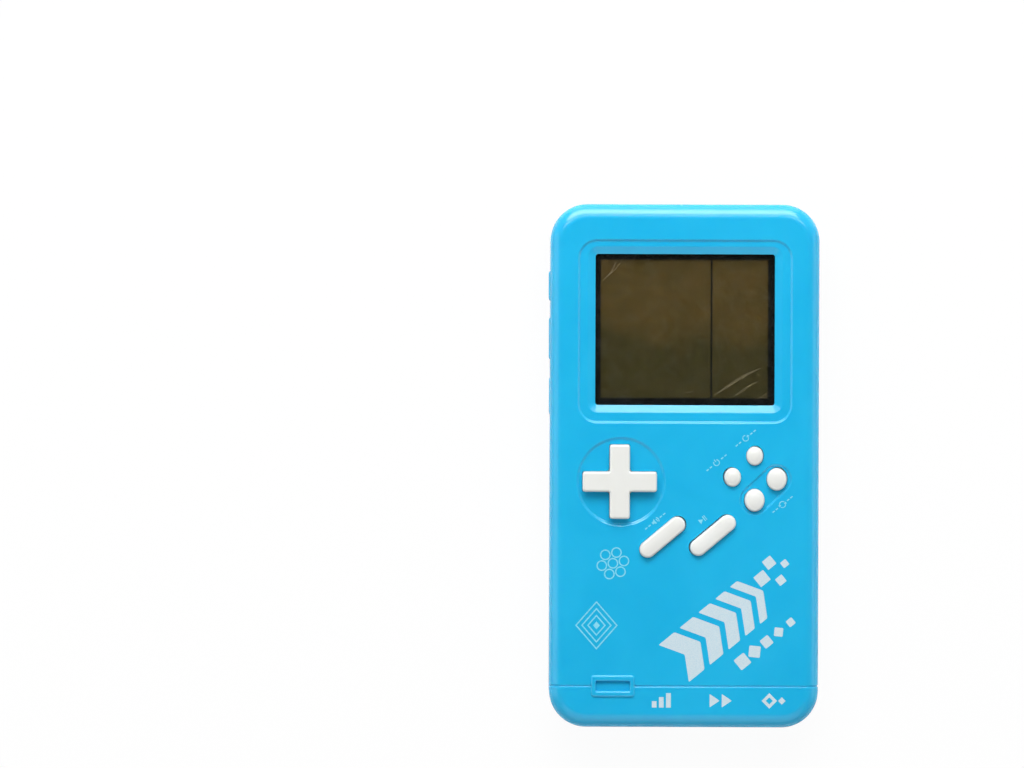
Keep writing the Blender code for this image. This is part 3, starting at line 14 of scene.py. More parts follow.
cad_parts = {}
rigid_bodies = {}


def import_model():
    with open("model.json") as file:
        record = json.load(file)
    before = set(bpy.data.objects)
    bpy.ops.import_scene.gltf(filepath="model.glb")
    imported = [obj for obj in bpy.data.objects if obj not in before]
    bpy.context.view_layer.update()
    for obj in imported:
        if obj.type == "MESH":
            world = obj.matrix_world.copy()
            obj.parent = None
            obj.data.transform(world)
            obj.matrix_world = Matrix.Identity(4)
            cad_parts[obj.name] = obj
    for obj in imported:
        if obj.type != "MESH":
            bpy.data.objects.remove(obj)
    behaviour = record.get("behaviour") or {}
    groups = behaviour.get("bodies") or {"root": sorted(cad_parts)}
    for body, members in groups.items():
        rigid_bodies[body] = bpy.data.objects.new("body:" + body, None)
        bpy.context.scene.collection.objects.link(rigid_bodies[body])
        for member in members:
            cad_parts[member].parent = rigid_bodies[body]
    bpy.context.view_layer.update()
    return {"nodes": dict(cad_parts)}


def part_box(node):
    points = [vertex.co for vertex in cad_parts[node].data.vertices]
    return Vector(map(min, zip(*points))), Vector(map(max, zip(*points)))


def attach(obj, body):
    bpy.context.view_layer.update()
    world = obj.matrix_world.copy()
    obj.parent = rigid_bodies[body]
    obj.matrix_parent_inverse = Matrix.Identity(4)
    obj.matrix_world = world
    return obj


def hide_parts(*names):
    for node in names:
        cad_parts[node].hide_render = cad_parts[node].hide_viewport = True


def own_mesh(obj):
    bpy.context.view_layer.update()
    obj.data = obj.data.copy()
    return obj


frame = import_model()

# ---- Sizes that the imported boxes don't give by themselves ----
MM = 0.001
GAP = 0.3 * MM
SEAM_GAP = 0.3 * MM
WALL = 1.8 * MM
CORNER_RADIUS = 11.0 * MM
EDGE_RADIUS = 3.5 * MM
EDGE_REACH = 4.6 * MM       # how far the front edge's rounding reaches over the face
SEAM_CHAMFER = 0.2 * MM
ROOT = 0.6 * MM             # how deep an added form sits in the wall that carries it
BOSS_RADIUS = 2.8 * MM      # round the case screws
POST_RADIUS = 2.0 * MM      # round the board screws
PILOT_RADIUS = 1.2 * MM
POST_PILOT_RADIUS = 0.9 * MM
LIP = 0.3 * MM              # rounding where a hole meets the face
KEY_LIP = 0.12 * MM         # the same at the keys
LIP_END = 78.0              # degrees after which such a rounding runs on straight
KEY_PLAY = 0.07 * MM
DPAD_PLAY = 0.48 * MM
DPAD_WAIST = 0.42 * MM      # how far the D-pad draws in towards its hole
DPAD_WAIST_RISE = 1.25 * MM     # where it does so, over the floor of its recess
FLANGE_RIM = 0.7 * MM
FLANGE_THICKNESS = 1.0 * MM
KEY_OVAL = 1.13
PILL_ANGLE = math.radians(40.0)
PILL_LENGTH = 16.2 * MM
PILL_WIDTH = 4.9 * MM
DPAD_SPAN = 22.0 * MM
DPAD_ARM = 6.0 * MM
DPAD_CORNER = 0.8 * MM
DPAD_HOLE_CORNERS = (0.55 * MM, 0.9 * MM)      # radii at the tips and roots of its hole
DPAD_TILT_ROOM = 1.5 * MM   # from the wall down to its flange
FILM_INSET = 0.3 * MM
BEZEL_SLOPE = 2.3 * MM
BEZEL_CROWN = 0.09          # share of the slope's height over which it turns into the floor above it
BEZEL_FOOT = (0.05 * MM, 0.12 * MM)
BEZEL_MARGINS = (4.5 * MM, 3.6 * MM, 4.7 * MM)     # window to the step at the sides, top and bottom
BEZEL_STEP = 0.5 * MM
BEZEL_RADIUS = 5.0 * MM
WINDOW_LIP = 0.5 * MM
WINDOW_RADIUS = 0.8 * MM
RECESS_DEPTH = 0.5 * MM
DISC_MARGIN = 1.35 * MM     # D-pad's arms to the foot of the recess's edge
DISC_SHIFT = 0.4 * MM
TRAY_RADIUS = 4.3 * MM
TRAY_INSET = 0.4 * MM       # how far the foot of the tray's edge lies inside that radius
SURROUND_RUN, DISC_RUN, TRAY_RUN = 0.8 * MM, 1.0 * MM, 0.65 * MM       # widths of the recesses' soft edges
SIDE_BUMPS = [(35.4, 8.9, 0.5), (19.7, 12.5, 0.4), (2.6, 11.0, 0.3)]   # mm: up from window, length, proud
BUMP_HEIGHT = 2.6 * MM
BUMP_CORNER = 1.25 * MM
BUMP_EDGE = 1.1 * MM        # width of a bump's rounding
BUMP_DROP = 2.2 * MM        # its middle under the edge's rounding
GROOVE_WIDTH = 0.5 * MM
GROOVE_DEPTH = 0.25 * MM
GROOVE_LIP = 0.18 * MM
TRIM_FROM_END = 12.4 * MM
TRIM_FROM_SIDE = 18.90 * MM
TRIM_FRAME = (12.9 * MM, 6.5 * MM)
TRIM_BORDER = (1.4 * MM, 1.8 * MM)
TRIM_CORNERS = (0.9 * MM, 0.35 * MM)       # outside and inside
TRIM_EDGE = (0.75 * MM, 0.45 * MM)         # width and height of the frame's rounding
TRIM_POCKET = 0.6 * MM      # its depth under the face
TRIM_POCKET_LIP = 0.5 * MM
FRAME_RISE = 0.5 * MM

SHARP_ANGLE = math.radians(34.0)
CORNER_STEPS = 20
EDGE_STEPS = 10
FINE_STEPS = 6
ROUND_STEPS = 64

# ---- Places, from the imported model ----
SHELL_LOW, SHELL_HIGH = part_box("front_shell")
HALF_X, HALF_Y = SHELL_HIGH.x, SHELL_HIGH.y
FACE_Z = SHELL_HIGH.z - FRAME_RISE
RIM_Z = SHELL_LOW.z
PARTING_Z = RIM_Z - SEAM_GAP
INNER_Z = FACE_Z - WALL


def middle(node):
    low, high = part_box(node)
    return (low + high) / 2


def half_size(node):
    return [(b - a) / 2 for a, b in zip(*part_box(node))]


WINDOW = middle("screen_film")
FILM_HALF = half_size("screen_film")
WINDOW_HALF_X, WINDOW_HALF_Y = FILM_HALF[0] + FILM_INSET, FILM_HALF[1] + FILM_INSET
DPAD = middle("dpad_key")
DPAD_FLANGE_LOW = INNER_Z - DPAD_TILT_ROOM - FLANGE_THICKNESS
# Each key sits at one side of its hole: how far, in mm, the hole reaches past it on the other side (x, y)
ROUND_KEYS = {"reset_key": (0.12, 0.14), "power_key": (-0.30, 0.12), "rotate_key": (0.24, 0.18),
              "drop_key": (-0.10, -0.05)}
PILL_KEYS = {"sound_key": (0.27, 0.15), "start_key": (-0.28, 0.06)}
TRIM_Y = TRIM_FROM_END - HALF_Y
BORDER = (1.1 * MM, 1.4 * MM, 1.6 * MM, 1.1 * MM)      # the screen's black border, partly print and partly painted shade of the window's rim: left, right, bottom, top
# Between which x and y it leaves the glass clear, how wide its soft inner edge of painted shade is and how far
# it runs on outwards
MASK_WINDOW = ((WINDOW.x - WINDOW_HALF_X + BORDER[0], WINDOW.x + WINDOW_HALF_X - BORDER[1]),
               (WINDOW.y - WINDOW_HALF_Y + BORDER[2], WINDOW.y + WINDOW_HALF_Y - BORDER[3]))
PAINTED_SHADE_FADE = 0.7 * MM
MASK_REACH = 4.0 * MM


# ---- Mesh helpers ----
def arc_points(cx, cy, radius, start, end, steps):
    angles = [math.radians(start + (end - start) * i / steps) for i in range(steps + 1)]
    return [(cx + radius * math.cos(a), cy + radius * math.sin(a)) for a in angles]


def rounded_rect(half_x, half_y, radius, steps=CORNER_STEPS):
    """An outline: a function of how far it is grown outwards."""
    def outline(grow):
        r = max(radius + grow, 0.01 * MM)
        points = []
        for quadrant, (sx, sy) in enumerate(((1, 1), (-1, 1), (-1, -1), (1, -1))):
            cx, cy = sx * (half_x + grow - r), sy * (half_y + grow - r)
            points += arc_points(cx, cy, r, 90 * quadrant, 90 * quadrant + 90, steps)
        return points
    return outline


def stadium(length, width, steps=12):
    return rounded_rect(length / 2, width / 2, width / 2, steps)


def ellipse(rx, ry, steps=ROUND_STEPS):
    def outline(grow):
        angles = [2 * math.pi * i / steps for i in range(steps)]
        return [((rx + grow) * math.cos(a), (ry + grow) * math.sin(a)) for a in angles]
    return outline


def cross(span, arm, tip, root, steps=4):
    """A plus sign with rounded tips and roots."""
    def outline(grow):
        s, a, t, r = span / 2 + grow, arm / 2 + grow, tip + grow, max(root - grow, 0.02 * MM)
        arm_tip = (arc_points(s - t, a - t, t, 0, 90, steps) + arc_points(a + r, a + r, r, 270, 180, steps)
                   + arc_points(a - t, s - t, t, 0, 90, steps))
        return [(c * x - n * y, n * x + c * y) for c, n in ((1, 0), (0, 1), (-1, 0), (0, -1))
                for x, y in arm_tip]
    return outline


def quarter(steps):
    """Sine and 1 - cosine of the angles of a quarter turn."""
    angles = [math.radians(90 * i / steps) for i in range(steps + 1)]
    return [(math.sin(a), 1 - math.cos(a)) for a in angles]


def skin(bm, rings):
    """Faces from each closed ring of vertices to the next, and over both ends."""
    count = len(rings[0])
    for lower, upper in zip(rings, rings[1:]):
        for i in range(count):
            j = (i + 1) % count
            bm.faces.new((lower[i], lower[j], upper[j], upper[i]))
    bm.faces.new(list(reversed(rings[0])))
    bm.faces.new(rings[-1])


def finished(bm, outwards=True):
    """The built mesh. The bmesh is used up."""
    if outwards:
        bmesh.ops.recalc_face_normals(bm, faces=bm.faces)
    mesh = bpy.data.meshes.new("mesh")
    bm.to_mesh(mesh)
    bm.free()
    return mesh


def loft(outline, profile):
    """A closed solid through copies of an outline: (growth, height) pairs from the bottom up."""
    bm = bmesh.new()
    skin(bm, [[bm.verts.new((x, y, z)) for x, y in outline(grow)] for grow, z in profile])
    bmesh.ops.remove_doubles(bm, verts=bm.verts, dist=0.0005 * MM)
    return finished(bm)


def placed(mesh, at=(0, 0, 0), turn=0.0, axis="Z"):
    mesh.transform(Matrix.Translation(at) @ Matrix.Rotation(turn, 4, axis))
    return mesh


def loft_at(outline, profile, at, turn=0.0):
    return placed(loft(outline, profile), (at[0], at[1], 0), turn)


def box_mesh(low, high, radius=0.0):
    """A block between two corners, its upright edges rounded."""
    half = [(b - a) / 2 for a, b in zip(low, high)]
    outline = rounded_rect(half[0], half[1], max(radius, 0.001 * MM), 3)
    return loft_at(outline, [(0, low[2]), (0, high[2])], ((low[0] + high[0]) / 2, (low[1] + high[1]) / 2))


def round_bar(radius, low, high, at, steps=24):
    return loft_at(ellipse(radius, radius, steps), [(0, low), (0, high)], at)


def lip_profile(low, face, lip):
    """Side of a hole cutter that leaves the hole's upper edge rounded: bottom up, past the face."""
    points = [(0.0, low)]
    for i in range(FINE_STEPS + 1):
        a = math.radians(LIP_END * i / FINE_STEPS)
        points.append((lip * (1 - math.cos(a)), face - lip + lip * math.sin(a)))
    reach = (face - points[-1][1] + lip / 4) / math.cos(a)
    return points + [(points[-1][0] + reach * math.sin(a), points[-1][1] + reach * math.cos(a))]


def carried_on(profile, height):
    """The profile with its last stretch carried on to that height."""
    (g0, z0), (g1, z1) = profile[-2:]
    rise = (height - z1) / (z1 - z0)
    return profile + [(g1 + rise * (g1 - g0), z1 + rise * (z1 - z0))]


def step_profile(depth, run):
    """Side of a recess cutter with a softly rounded foot and edge: bottom up, past the face."""
    floor = FACE_Z - depth
    shares = [0.9 * i / EDGE_STEPS for i in range(EDGE_STEPS + 1)]
    return carried_on([(run * t, floor + depth * t * t * (3 - 2 * t)) for t in shares], FACE_Z + 0.3 * depth)


def flipped(profile):
    """The same profile for a cutter that works from below, on the plane z = 0."""
    return [(grow, -z) for grow, z in reversed(profile)]


def add_object(name, data, collection=None):
    obj = bpy.data.objects.new(name, data)
    (collection or bpy.context.scene.collection).objects.link(obj)
    return obj


def evaluated_mesh(obj):
    """The object's mesh with its modifiers applied."""
    bpy.context.view_layer.update()
    mesh = bpy.data.meshes.new_from_object(obj.evaluated_get(bpy.context.evaluated_depsgraph_get()))
    mesh.materials.clear()
    return mesh


def combine(base, others, operation):
    """A mesh joined with, cut by or kept inside all the others in one pass. The others are used up."""
    tools = bpy.data.collections.new("tools")
    bpy.context.scene.collection.children.link(tools)
    target = add_object("target", base)
    for mesh in others:
        add_object("tool", mesh, tools)
    modifier = target.modifiers.new("combine", "BOOLEAN")
    modifier.operation = operation
    modifier.solver = "EXACT"
    modifier.operand_type = "COLLECTION"
    modifier.collection = tools
    result = evaluated_mesh(target)
    for obj in list(tools.objects) + [target]:
        data = obj.data
        bpy.data.objects.remove(obj)
        bpy.data.meshes.remove(data)
    bpy.data.collections.remove(tools)
    return result


def cut(base, tools):
    return combine(base, tools, "DIFFERENCE")


def joined(base, others):
    return combine(base, others, "UNION")


def piece(name, mesh, slot, body="root", replaces=(), finish=None):
    """The finished piece: shaded, given its finish and tied to its body."""
    bm = bmesh.new()
    bm.from_mesh(mesh)
    bmesh.ops.remove_doubles(bm, verts=bm.verts, dist=0.001 * MM)
    bmesh.ops.dissolve_degenerate(bm, dist=0.0005 * MM, edges=bm.edges)
    bm.to_mesh(mesh)
    bm.free()
    mesh.materials.append(FINISHES[finish or slot])
    mesh.polygons.foreach_set("use_smooth", [True] * len(mesh.polygons))
    mesh.set_sharp_from_angle(angle=SHARP_ANGLE)
    obj = add_object(name, mesh)
    weighted = obj.modifiers.new("even_shading", "WEIGHTED_NORMAL")
    weighted.keep_sharp = True
    weighted.weight = 90
    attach(obj, body)
    if replaces:
        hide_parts(*replaces)
    return obj


# ---- Finishes ----
def add_node(tree, kind, inputs=(), **settings):
    """A shader node. Its inputs take values or links from other nodes' outputs."""
    made = tree.nodes.new(f"ShaderNode{kind}")
    for key, value in settings.items():
        setattr(made, key, value)
    for key, value in dict(inputs).items():
        if isinstance(value, bpy.types.NodeSocket):
            tree.links.new(value, made.inputs[key])
        else:
            made.inputs[key].default_value = value
    return made


def colour_ramp(tree, source, low, high, start, end):
    """Blend two colours by a value that runs from start to end."""
    made = add_node(tree, "ValToRGB", {"Fac": source})
    for element, position, colour in zip(made.color_ramp.elements, (start, end), (low, high)):
        element.position = position
        element.color = (*colour, 1)
    return made.outputs["Color"]


class Finish:
    """A Principled material whose colour, roughness and relief vary with the place on the piece."""

    def __init__(self, name, colour, roughness, **values):
        self.material = bpy.data.materials.new(name)
        self.material.use_nodes = True
        self.tree = self.material.node_tree
        self.shader = self.tree.nodes["Principled BSDF"]
        self.values(Base_Color=(*colour, 1), Roughness=roughness, **values)
        self.place = self.node("TexCoord").outputs["Object"]
        self.relief = None
        FINISHES[name] = self.material

    def values(self, **values):
        """Set the shader's own sockets, their names written with underscores."""
        for socket, value in values.items():
            self.shader.inputs[socket.replace("_", " ")].default_value = value

    def node(self, kind, inputs=(), **settings):
        return add_node(self.tree, kind, inputs, **settings)

    def axes(self):
        return self.node("SeparateXYZ", {"Vector": self.place}).outputs

    def noise(self, size, detail=3.0, stretch=None, distortion=0.0):
        """Noise between about 0.3 and 0.7, with features of that size."""
        place = self.place
        if stretch:
            place = self.node("Mapping", {"Vector": place, "Scale": stretch}).outputs["Vector"]
        return self.node("TexNoise", {"Vector": place, "Scale": 1 / size, "Detail": detail,
                                      "Distortion": distortion}).outputs["Fac"]

    def ramp(self, source, low, high, start=0.35, end=0.65):
        """Map a value on to a range, as a number."""
        return self.node("MapRange", {"Value": source, "From Min": start, "From Max": end, "To Min": low,
                                      "To Max": high}, clamp=True).outputs["Result"]

    def colours(self, source, low, high, start=0.35, end=0.65):
        return colour_ramp(self.tree, source, low, high, start, end)

    def set(self, socket, source):
        self.tree.links.new(source, self.shader.inputs[socket])

    def bump(self, source, height):
        """Add relief of that height where the value goes from 0 to 1."""
        inputs = {"Strength": 1.0, "Distance": height, "Height": source}
        if self.relief:
            inputs["Normal"] = self.relief
        self.relief = self.node("Bump", inputs).outputs["Normal"]
        self.set("Normal", self.relief)

    def math(self, operation, a, b=0.0):
        return self.node("Math", {0: a, 1: b}, operation=operation).outputs["Value"]

    def mixed(self, other, share):
        """Mix the other shader in by that share."""
        mix = self.node("MixShader", {"Fac": share, 1: self.shader.outputs["BSDF"], 2: other})
        self.tree.links.new(mix.outputs["Shader"], self.tree.nodes["Material Output"].inputs["Surface"])

    def ray(self, kind):
        return self.node("LightPath").outputs[kind]

    def lets_lamps_through(self):
        """Clear plastic that casts no dark shadow on what lies behind it."""
        clear = self.node("BsdfTransparent", {"Color": (1, 1, 1, 1)})
        self.mixed(clear.outputs["BSDF"], self.ray("Is Shadow Ray"))


FINISHES = {}


def moulded(name, light, dark, roughness, smudge):
    """Glossy moulded plastic: faint flow shades, wiped smudges, a slight orange peel and fine grain."""
    made = Finish(name, light, roughness, IOR=1.5)
    made.set("Base Color", made.colours(made.noise(22 * MM, 2.0, distortion=0.6), dark, light))
    wiped = made.noise(9 * MM, 5.0, stretch=(1, 0.35, 1), distortion=1.2)
    made.set("Roughness", made.ramp(wiped, roughness, roughness + smudge, 0.45, 0.75))
    made.bump(made.noise(2.6 * MM, 1.0), 0.0012 * MM)
    made.bump(made.noise(0.12 * MM, 2.0), 0.00035 * MM)
    return made


def varied(name, colour, roughness, shades=None, gloss=None, relief=None, **values):
    """A finish varied by noise. Each variation starts with the noise's size in mm and its detail.

    Then shades have a dark and a light colour, gloss a low and a high roughness, relief a height in mm.
    """
    made = Finish(name, colour, roughness, **values)
    if shades:
        made.set("Base Color", made.colours(made.noise(shades[0] * MM, shades[1]), *shades[2:]))
    if gloss:
        made.set("Roughness", made.ramp(made.noise(gloss[0] * MM, gloss[1]), *gloss[2:]))
    if relief:
        made.bump(made.noise(relief[0] * MM, relief[1]), relief[2] * MM)
    return made


def lcd_glass():
    """Polarised glass, browner in its upper part, greener below, with a faint mottle and fine grain."""
    panel = Finish("panel_glass", (0.055, 0.042, 0.014), 0.14, IOR=1.5)
    place = panel.axes()
    wander = panel.ramp(panel.noise(20 * MM, 2.0), -4 * MM, 4 * MM, 0.3, 0.7)
    height = panel.math("ADD", panel.math("ADD", place["Y"], wander),
                        panel.math("MULTIPLY", place["X"], 0.08))
    tone = panel.colours(panel.ramp(height, 0.0, 1.0, WINDOW.y - 4 * MM, WINDOW.y + 2.5 * MM),
                         (0.034, 0.0284, 0.0087), (0.0607, 0.0412, 0.0115), 0.0, 1.0)
    mottle = panel.colours(panel.noise(7 * MM, 4.0, stretch=(1, 1.6, 1), distortion=0.6),
                           (0.90, 0.94, 0.90), (1.08, 1.05, 1.08), 0.38, 0.62)
    mix = panel.node("Mix", {"Factor": 1.0, "A": tone, "B": mottle}, data_type="RGBA", blend_type="MULTIPLY")
    panel.set("Base Color", mix.outputs["Result"])
    panel.set("Roughness", panel.ramp(panel.noise(0.08 * MM, 2.0), 0.10, 0.18))
    panel.bump(panel.noise(0.06 * MM, 2.0), 0.0004 * MM)


def fade_as_painted_shade(mask):
    """Let the border's inner edge run out softly over its fade width: painted shade of the window's rim on the
    glass.
    """
    place = mask.axes()
    sides = []
    for axis, (low, high) in zip("XY", MASK_WINDOW):
        past = mask.math("ABSOLUTE", mask.math("SUBTRACT", place[axis], (low + high) / 2))
        sides.append(mask.math("SUBTRACT", past, (high - low) / 2))
    mask.set("Alpha", mask.ramp(mask.math("MAXIMUM", *sides), 0.0, 1.0, -PAINTED_SHADE_FADE, 0.0))


def make_finishes():
    blue = moulded("blue_plastic", (0.018, 0.487, 0.812), (0.014, 0.464, 0.788), 0.20, 0.08)
    blue.values(Subsurface_Weight=0.3, Subsurface_Radius=(0.2 * MM, 0.7 * MM, 1.0 * MM), Subsurface_Scale=1.0,
                Coat_Weight=0.3, Coat_Roughness=0.06)
    white = moulded("white_plastic", (0.83, 0.845, 0.82), (0.80, 0.805, 0.77), 0.28, 0.10)
    white.values(Subsurface_Weight=0.12, Subsurface_Radius=(0.4 * MM, 0.4 * MM, 0.35 * MM),
                 Subsurface_Scale=1.0)

    varied("white_ink", (0.64, 0.76, 0.82), 0.42, relief=(0.2, 2, 0.002),
           shades=(0.35, 4, (0.51, 0.68, 0.77), (0.62, 0.74, 0.80), 0.3, 0.6))
    varied("pale_ink", (0.24, 0.69, 0.86), 0.42, relief=(0.2, 2, 0.002),
           shades=(0.4, 4, (0.15, 0.63, 0.84), (0.28, 0.71, 0.87)))

    lens = Finish("clear_plastic", (0.96, 0.97, 0.96), 0.04, IOR=1.49, Transmission_Weight=1.0)
    lens.set("Roughness", lens.ramp(lens.noise(6 * MM, 4.0, distortion=0.8), 0.03, 0.09))
    lens.bump(lens.noise(8 * MM, 1.0), 0.002 * MM)
    lens.lets_lamps_through()
    film = Finish("clear_film", (0.97, 0.97, 0.95), 0.06, IOR=1.35, Transmission_Weight=1.0)
    film.set("Roughness", film.ramp(film.noise(5 * MM, 4.0, distortion=1.0), 0.04, 0.12))
    film.lets_lamps_through()
    varied("film_crease", (0.30, 0.25, 0.15), 0.30, IOR=1.35, Alpha=0.18,
           shades=(0.9, 3, (0.13, 0.11, 0.06), (0.30, 0.25, 0.16)))
    varied("dust", (0.42, 0.40, 0.33), 0.8, shades=(0.5, 2, (0.22, 0.20, 0.15), (0.50, 0.48, 0.40)))

    lcd_glass()
    # The second of these masks fades inwards: its soft edge is painted shade of the window's rim.
    for name in ("black_mask", "black_print_and_painted_shade"):
        mask = varied(name, (0.002, 0.003, 0.003), 0.16, gloss=(0.5, 3, 0.12, 0.20))
    fade_as_painted_shade(mask)

    varied("silver_film", (0.70, 0.70, 0.66), 0.3, relief=(0.15, 2, 0.002), Metallic=1.0)
    cream = moulded("cream_plastic", (0.76, 0.73, 0.66), (0.71, 0.68, 0.60), 0.42, 0.10)
    cream.bump(cream.noise(0.4 * MM, 2.0), 0.002 * MM)
    varied("grey_silicone", (0.34, 0.35, 0.36), 0.62, relief=(0.15, 3, 0.004), IOR=1.41,
           shades=(3, 3, (0.30, 0.31, 0.32), (0.37, 0.38, 0.39)))
    zebra = Finish("pink_elastomer", (0.75, 0.45, 0.42), 0.7)
    stripes = zebra.node("TexWave", {"Vector": zebra.place, "Scale": 1 / (0.5 * MM)}, wave_type="BANDS",
                         bands_direction="X")
    zebra.set("Base Color", zebra.colours(stripes.outputs["Fac"], (0.55, 0.30, 0.28), (0.80, 0.50, 0.46)))
    board = varied("board_laminate", (0.10, 0.28, 0.08), 0.4, relief=(0.3, 2, 0.003), IOR=1.5)
    weave = board.node("TexChecker", {"Vector": board.place, "Scale": 1 / (0.5 * MM),
                                      "Color1": (0.085, 0.25, 0.07, 1), "Color2": (0.11, 0.29, 0.085, 1)})
    board.set("Base Color", weave.outputs["Color"])
    varied("black_epoxy", (0.012, 0.012, 0.013), 0.22, gloss=(1.5, 3, 0.16, 0.34), relief=(1.2, 2, 0.02))
    varied("component", (0.55, 0.30, 0.12), 0.45, shades=(0.8, 3, (0.46, 0.24, 0.09), (0.60, 0.34, 0.15)))
    steel = varied("steel", (0.62, 0.61, 0.59), 0.28, gloss=(0.5, 4, 0.22, 0.40), Metallic=1.0)
    steel.bump(steel.noise(0.1 * MM, 2.0, stretch=(1, 1, 0.2)), 0.002 * MM)
    varied("ferrite", (0.06, 0.06, 0.06), 0.55, relief=(0.2, 4, 0.008))
    varied("paper_cone", (0.05, 0.05, 0.045), 0.85, relief=(0.25, 4, 0.02),
           shades=(0.4, 5, (0.035, 0.035, 0.03), (0.075, 0.072, 0.065)))
    jacket = varied("cell_jacket", (0.05, 0.06, 0.07), 0.3, relief=(4, 2, 0.01))
    band = jacket.ramp(jacket.axes()["X"], 0.0, 1.0, 8 * MM, 8.3 * MM)
    jacket.set("Base Color", jacket.colours(band, (0.04, 0.05, 0.06), (0.62, 0.30, 0.08), 0.0, 1.0))
    for name, light, dark in (("red_wire", (0.62, 0.02, 0.02), (0.52, 0.015, 0.015)),
                              ("black_wire", (0.02, 0.02, 0.02), (0.012, 0.012, 0.012))):
        varied(name, light, 0.45, shades=(0.8, 2, dark, light), relief=(0.3, 2, 0.006))


make_finishes()


def dress_frame():
    """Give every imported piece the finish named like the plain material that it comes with."""
    for obj in frame["nodes"].values():
        for material_slot in obj.material_slots:
            material_slot.material = FINISHES[material_slot.material.name]


dress_frame()


# ---- Front shell ----
def body_loft(profile):
    return loft(rounded_rect(HALF_X, HALF_Y, CORNER_RADIUS), profile)


def edge_profile(low, high, inset, chamfer):
    """The case's side and upper rounding, from the seam up. inset is for the inside of the wall."""
    radius, reach = EDGE_RADIUS - inset, (EDGE_RADIUS if inset else EDGE_REACH) - inset
    points = [(-inset - chamfer, low)] if chamfer else []
    points.append((-inset, low + chamfer))
    return points + [(-inset - reach * c, high - radius + radius * n) for n, c in quarter(EDGE_STEPS)]


def front_shell():
    base = body_loft(edge_profile(RIM_Z, FACE_Z, 0.0, SEAM_CHAMFER))
    cavity = [(-WALL, RIM_Z - 2 * MM)] + edge_profile(RIM_Z, INNER_Z, WALL, 0.0)
    base = joined(cut(base, [body_loft(cavity)]), front_additions())
    base = cut(cut(base, front_recesses()), front_holes())
    piece("front_shell_moulding", base, "blue_plastic", replaces=["front_shell"])


def screws(prefix):
    """Middle and box of each packed screw of a kind."""
    names = sorted(n for n in frame["nodes"] if n.startswith(prefix))
    return [(name, middle(name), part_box(name)) for name in names]


def front_additions():
    """Bosses, board posts, side bumps and the small frame."""
    root = INNER_Z + ROOT
    made = [round_bar(BOSS_RADIUS, RIM_Z, root, at) for _, at, _ in screws("case_screw")]
    board_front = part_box("main_board")[1].z
    made += [round_bar(POST_RADIUS, board_front + GAP, root, at) for _, at, _ in screws("board_screw")]
    for up, length, proud in SIDE_BUMPS:
        profile = [(0, -MM)] + [(-BUMP_EDGE * c, proud * MM * n) for n, c in quarter(FINE_STEPS)]
        bump = loft(rounded_rect(BUMP_HEIGHT / 2, length * MM / 2, BUMP_CORNER, 8), profile)
        at = (-HALF_X, WINDOW.y - WINDOW_HALF_Y + up * MM, FACE_Z - EDGE_RADIUS - BUMP_DROP)
        made.append(placed(bump, at, -math.pi / 2, "Y"))
    width, height = TRIM_EDGE
    shoulder = FACE_Z + FRAME_RISE - height
    profile = [(0, FACE_Z - WALL / 2)] + [(-width * c, shoulder + height * n) for n, c in quarter(EDGE_STEPS)]
    return made + [trim_loft(0, 0, TRIM_CORNERS[0], 8, profile)]


def trim_loft(border_x, border_y, corner, steps, profile):
    """A form with the small frame's outline, drawn in by its borders."""
    outline = rounded_rect(TRIM_FRAME[0] / 2 - border_x, TRIM_FRAME[1] / 2 - border_y, corner, steps)
    return loft_at(outline, profile, (TRIM_FROM_SIDE - HALF_X, TRIM_Y))


def groove_cutter():
    """A shallow rounded channel over the face and down both sides."""
    half, depth, lip = GROOVE_WIDTH / 2, GROOVE_DEPTH, GROOVE_LIP
    section = [(-half - 2 * lip, 0.3 * lip), (-half - lip, 0.0), (-half - 0.3 * lip, -0.3 * lip),
               (-half, -lip), (-half * 0.6, -depth * 0.8), (-half * 0.2, -depth), (half * 0.2, -depth),
               (half * 0.6, -depth * 0.8), (half, -0.6 * lip), (half + 0.3 * lip, -0.2 * lip),
               (half + lip, 0.0), (half + 2 * lip, 0.3 * lip)]
    path = [((-HALF_X, PARTING_Z), (-1, 0))]
    for n, c in quarter(EDGE_STEPS):
        normal = Vector(((c - 1) / EDGE_REACH, n / EDGE_RADIUS)).normalized()
        path.append(((-HALF_X + EDGE_REACH * c, FACE_Z - EDGE_RADIUS + EDGE_RADIUS * n), tuple(normal)))
    path += [((-x, z), (-nx, nz)) for (x, z), (nx, nz) in reversed(path)]
    bm = bmesh.new()
    skin(bm, [[bm.verts.new((x + nx * h, TRIM_Y + y, z + nz * h)) for y, h in section]
              for (x, z), (nx, nz) in path])
    return finished(bm)


def front_recesses():
    """Screen surround, the D-pad's disc, the two large round keys' tray and the small frame's pocket."""
    side, top, bottom = BEZEL_MARGINS
    surround = rounded_rect(WINDOW_HALF_X + side, WINDOW_HALF_Y + (top + bottom) / 2, BEZEL_RADIUS)
    disc = DPAD_SPAN / 2 + DISC_MARGIN
    a, b = middle("rotate_key"), middle("drop_key")
    width = 2 * (TRAY_RADIUS - TRAY_INSET)
    tray = stadium((a - b).xy.length + width, width, 20)
    made = [loft_at(outline, step_profile(depth, run), at, turn)
            for outline, depth, run, at, turn in (
                (surround, BEZEL_STEP, SURROUND_RUN, (WINDOW.x, WINDOW.y + (top - bottom) / 2), 0.0),
                (ellipse(disc, disc, 96), RECESS_DEPTH, DISC_RUN, (DPAD.x + DISC_SHIFT, DPAD.y), 0.0),
                (tray, RECESS_DEPTH, TRAY_RUN, (a + b) / 2, math.atan2(a.y - b.y, a.x - b.x)))]
    pocket = lip_profile(FACE_Z - TRIM_POCKET, FACE_Z + FRAME_RISE, TRIM_POCKET_LIP)
    return made + [trim_loft(*TRIM_BORDER, TRIM_CORNERS[1], 4, pocket)]


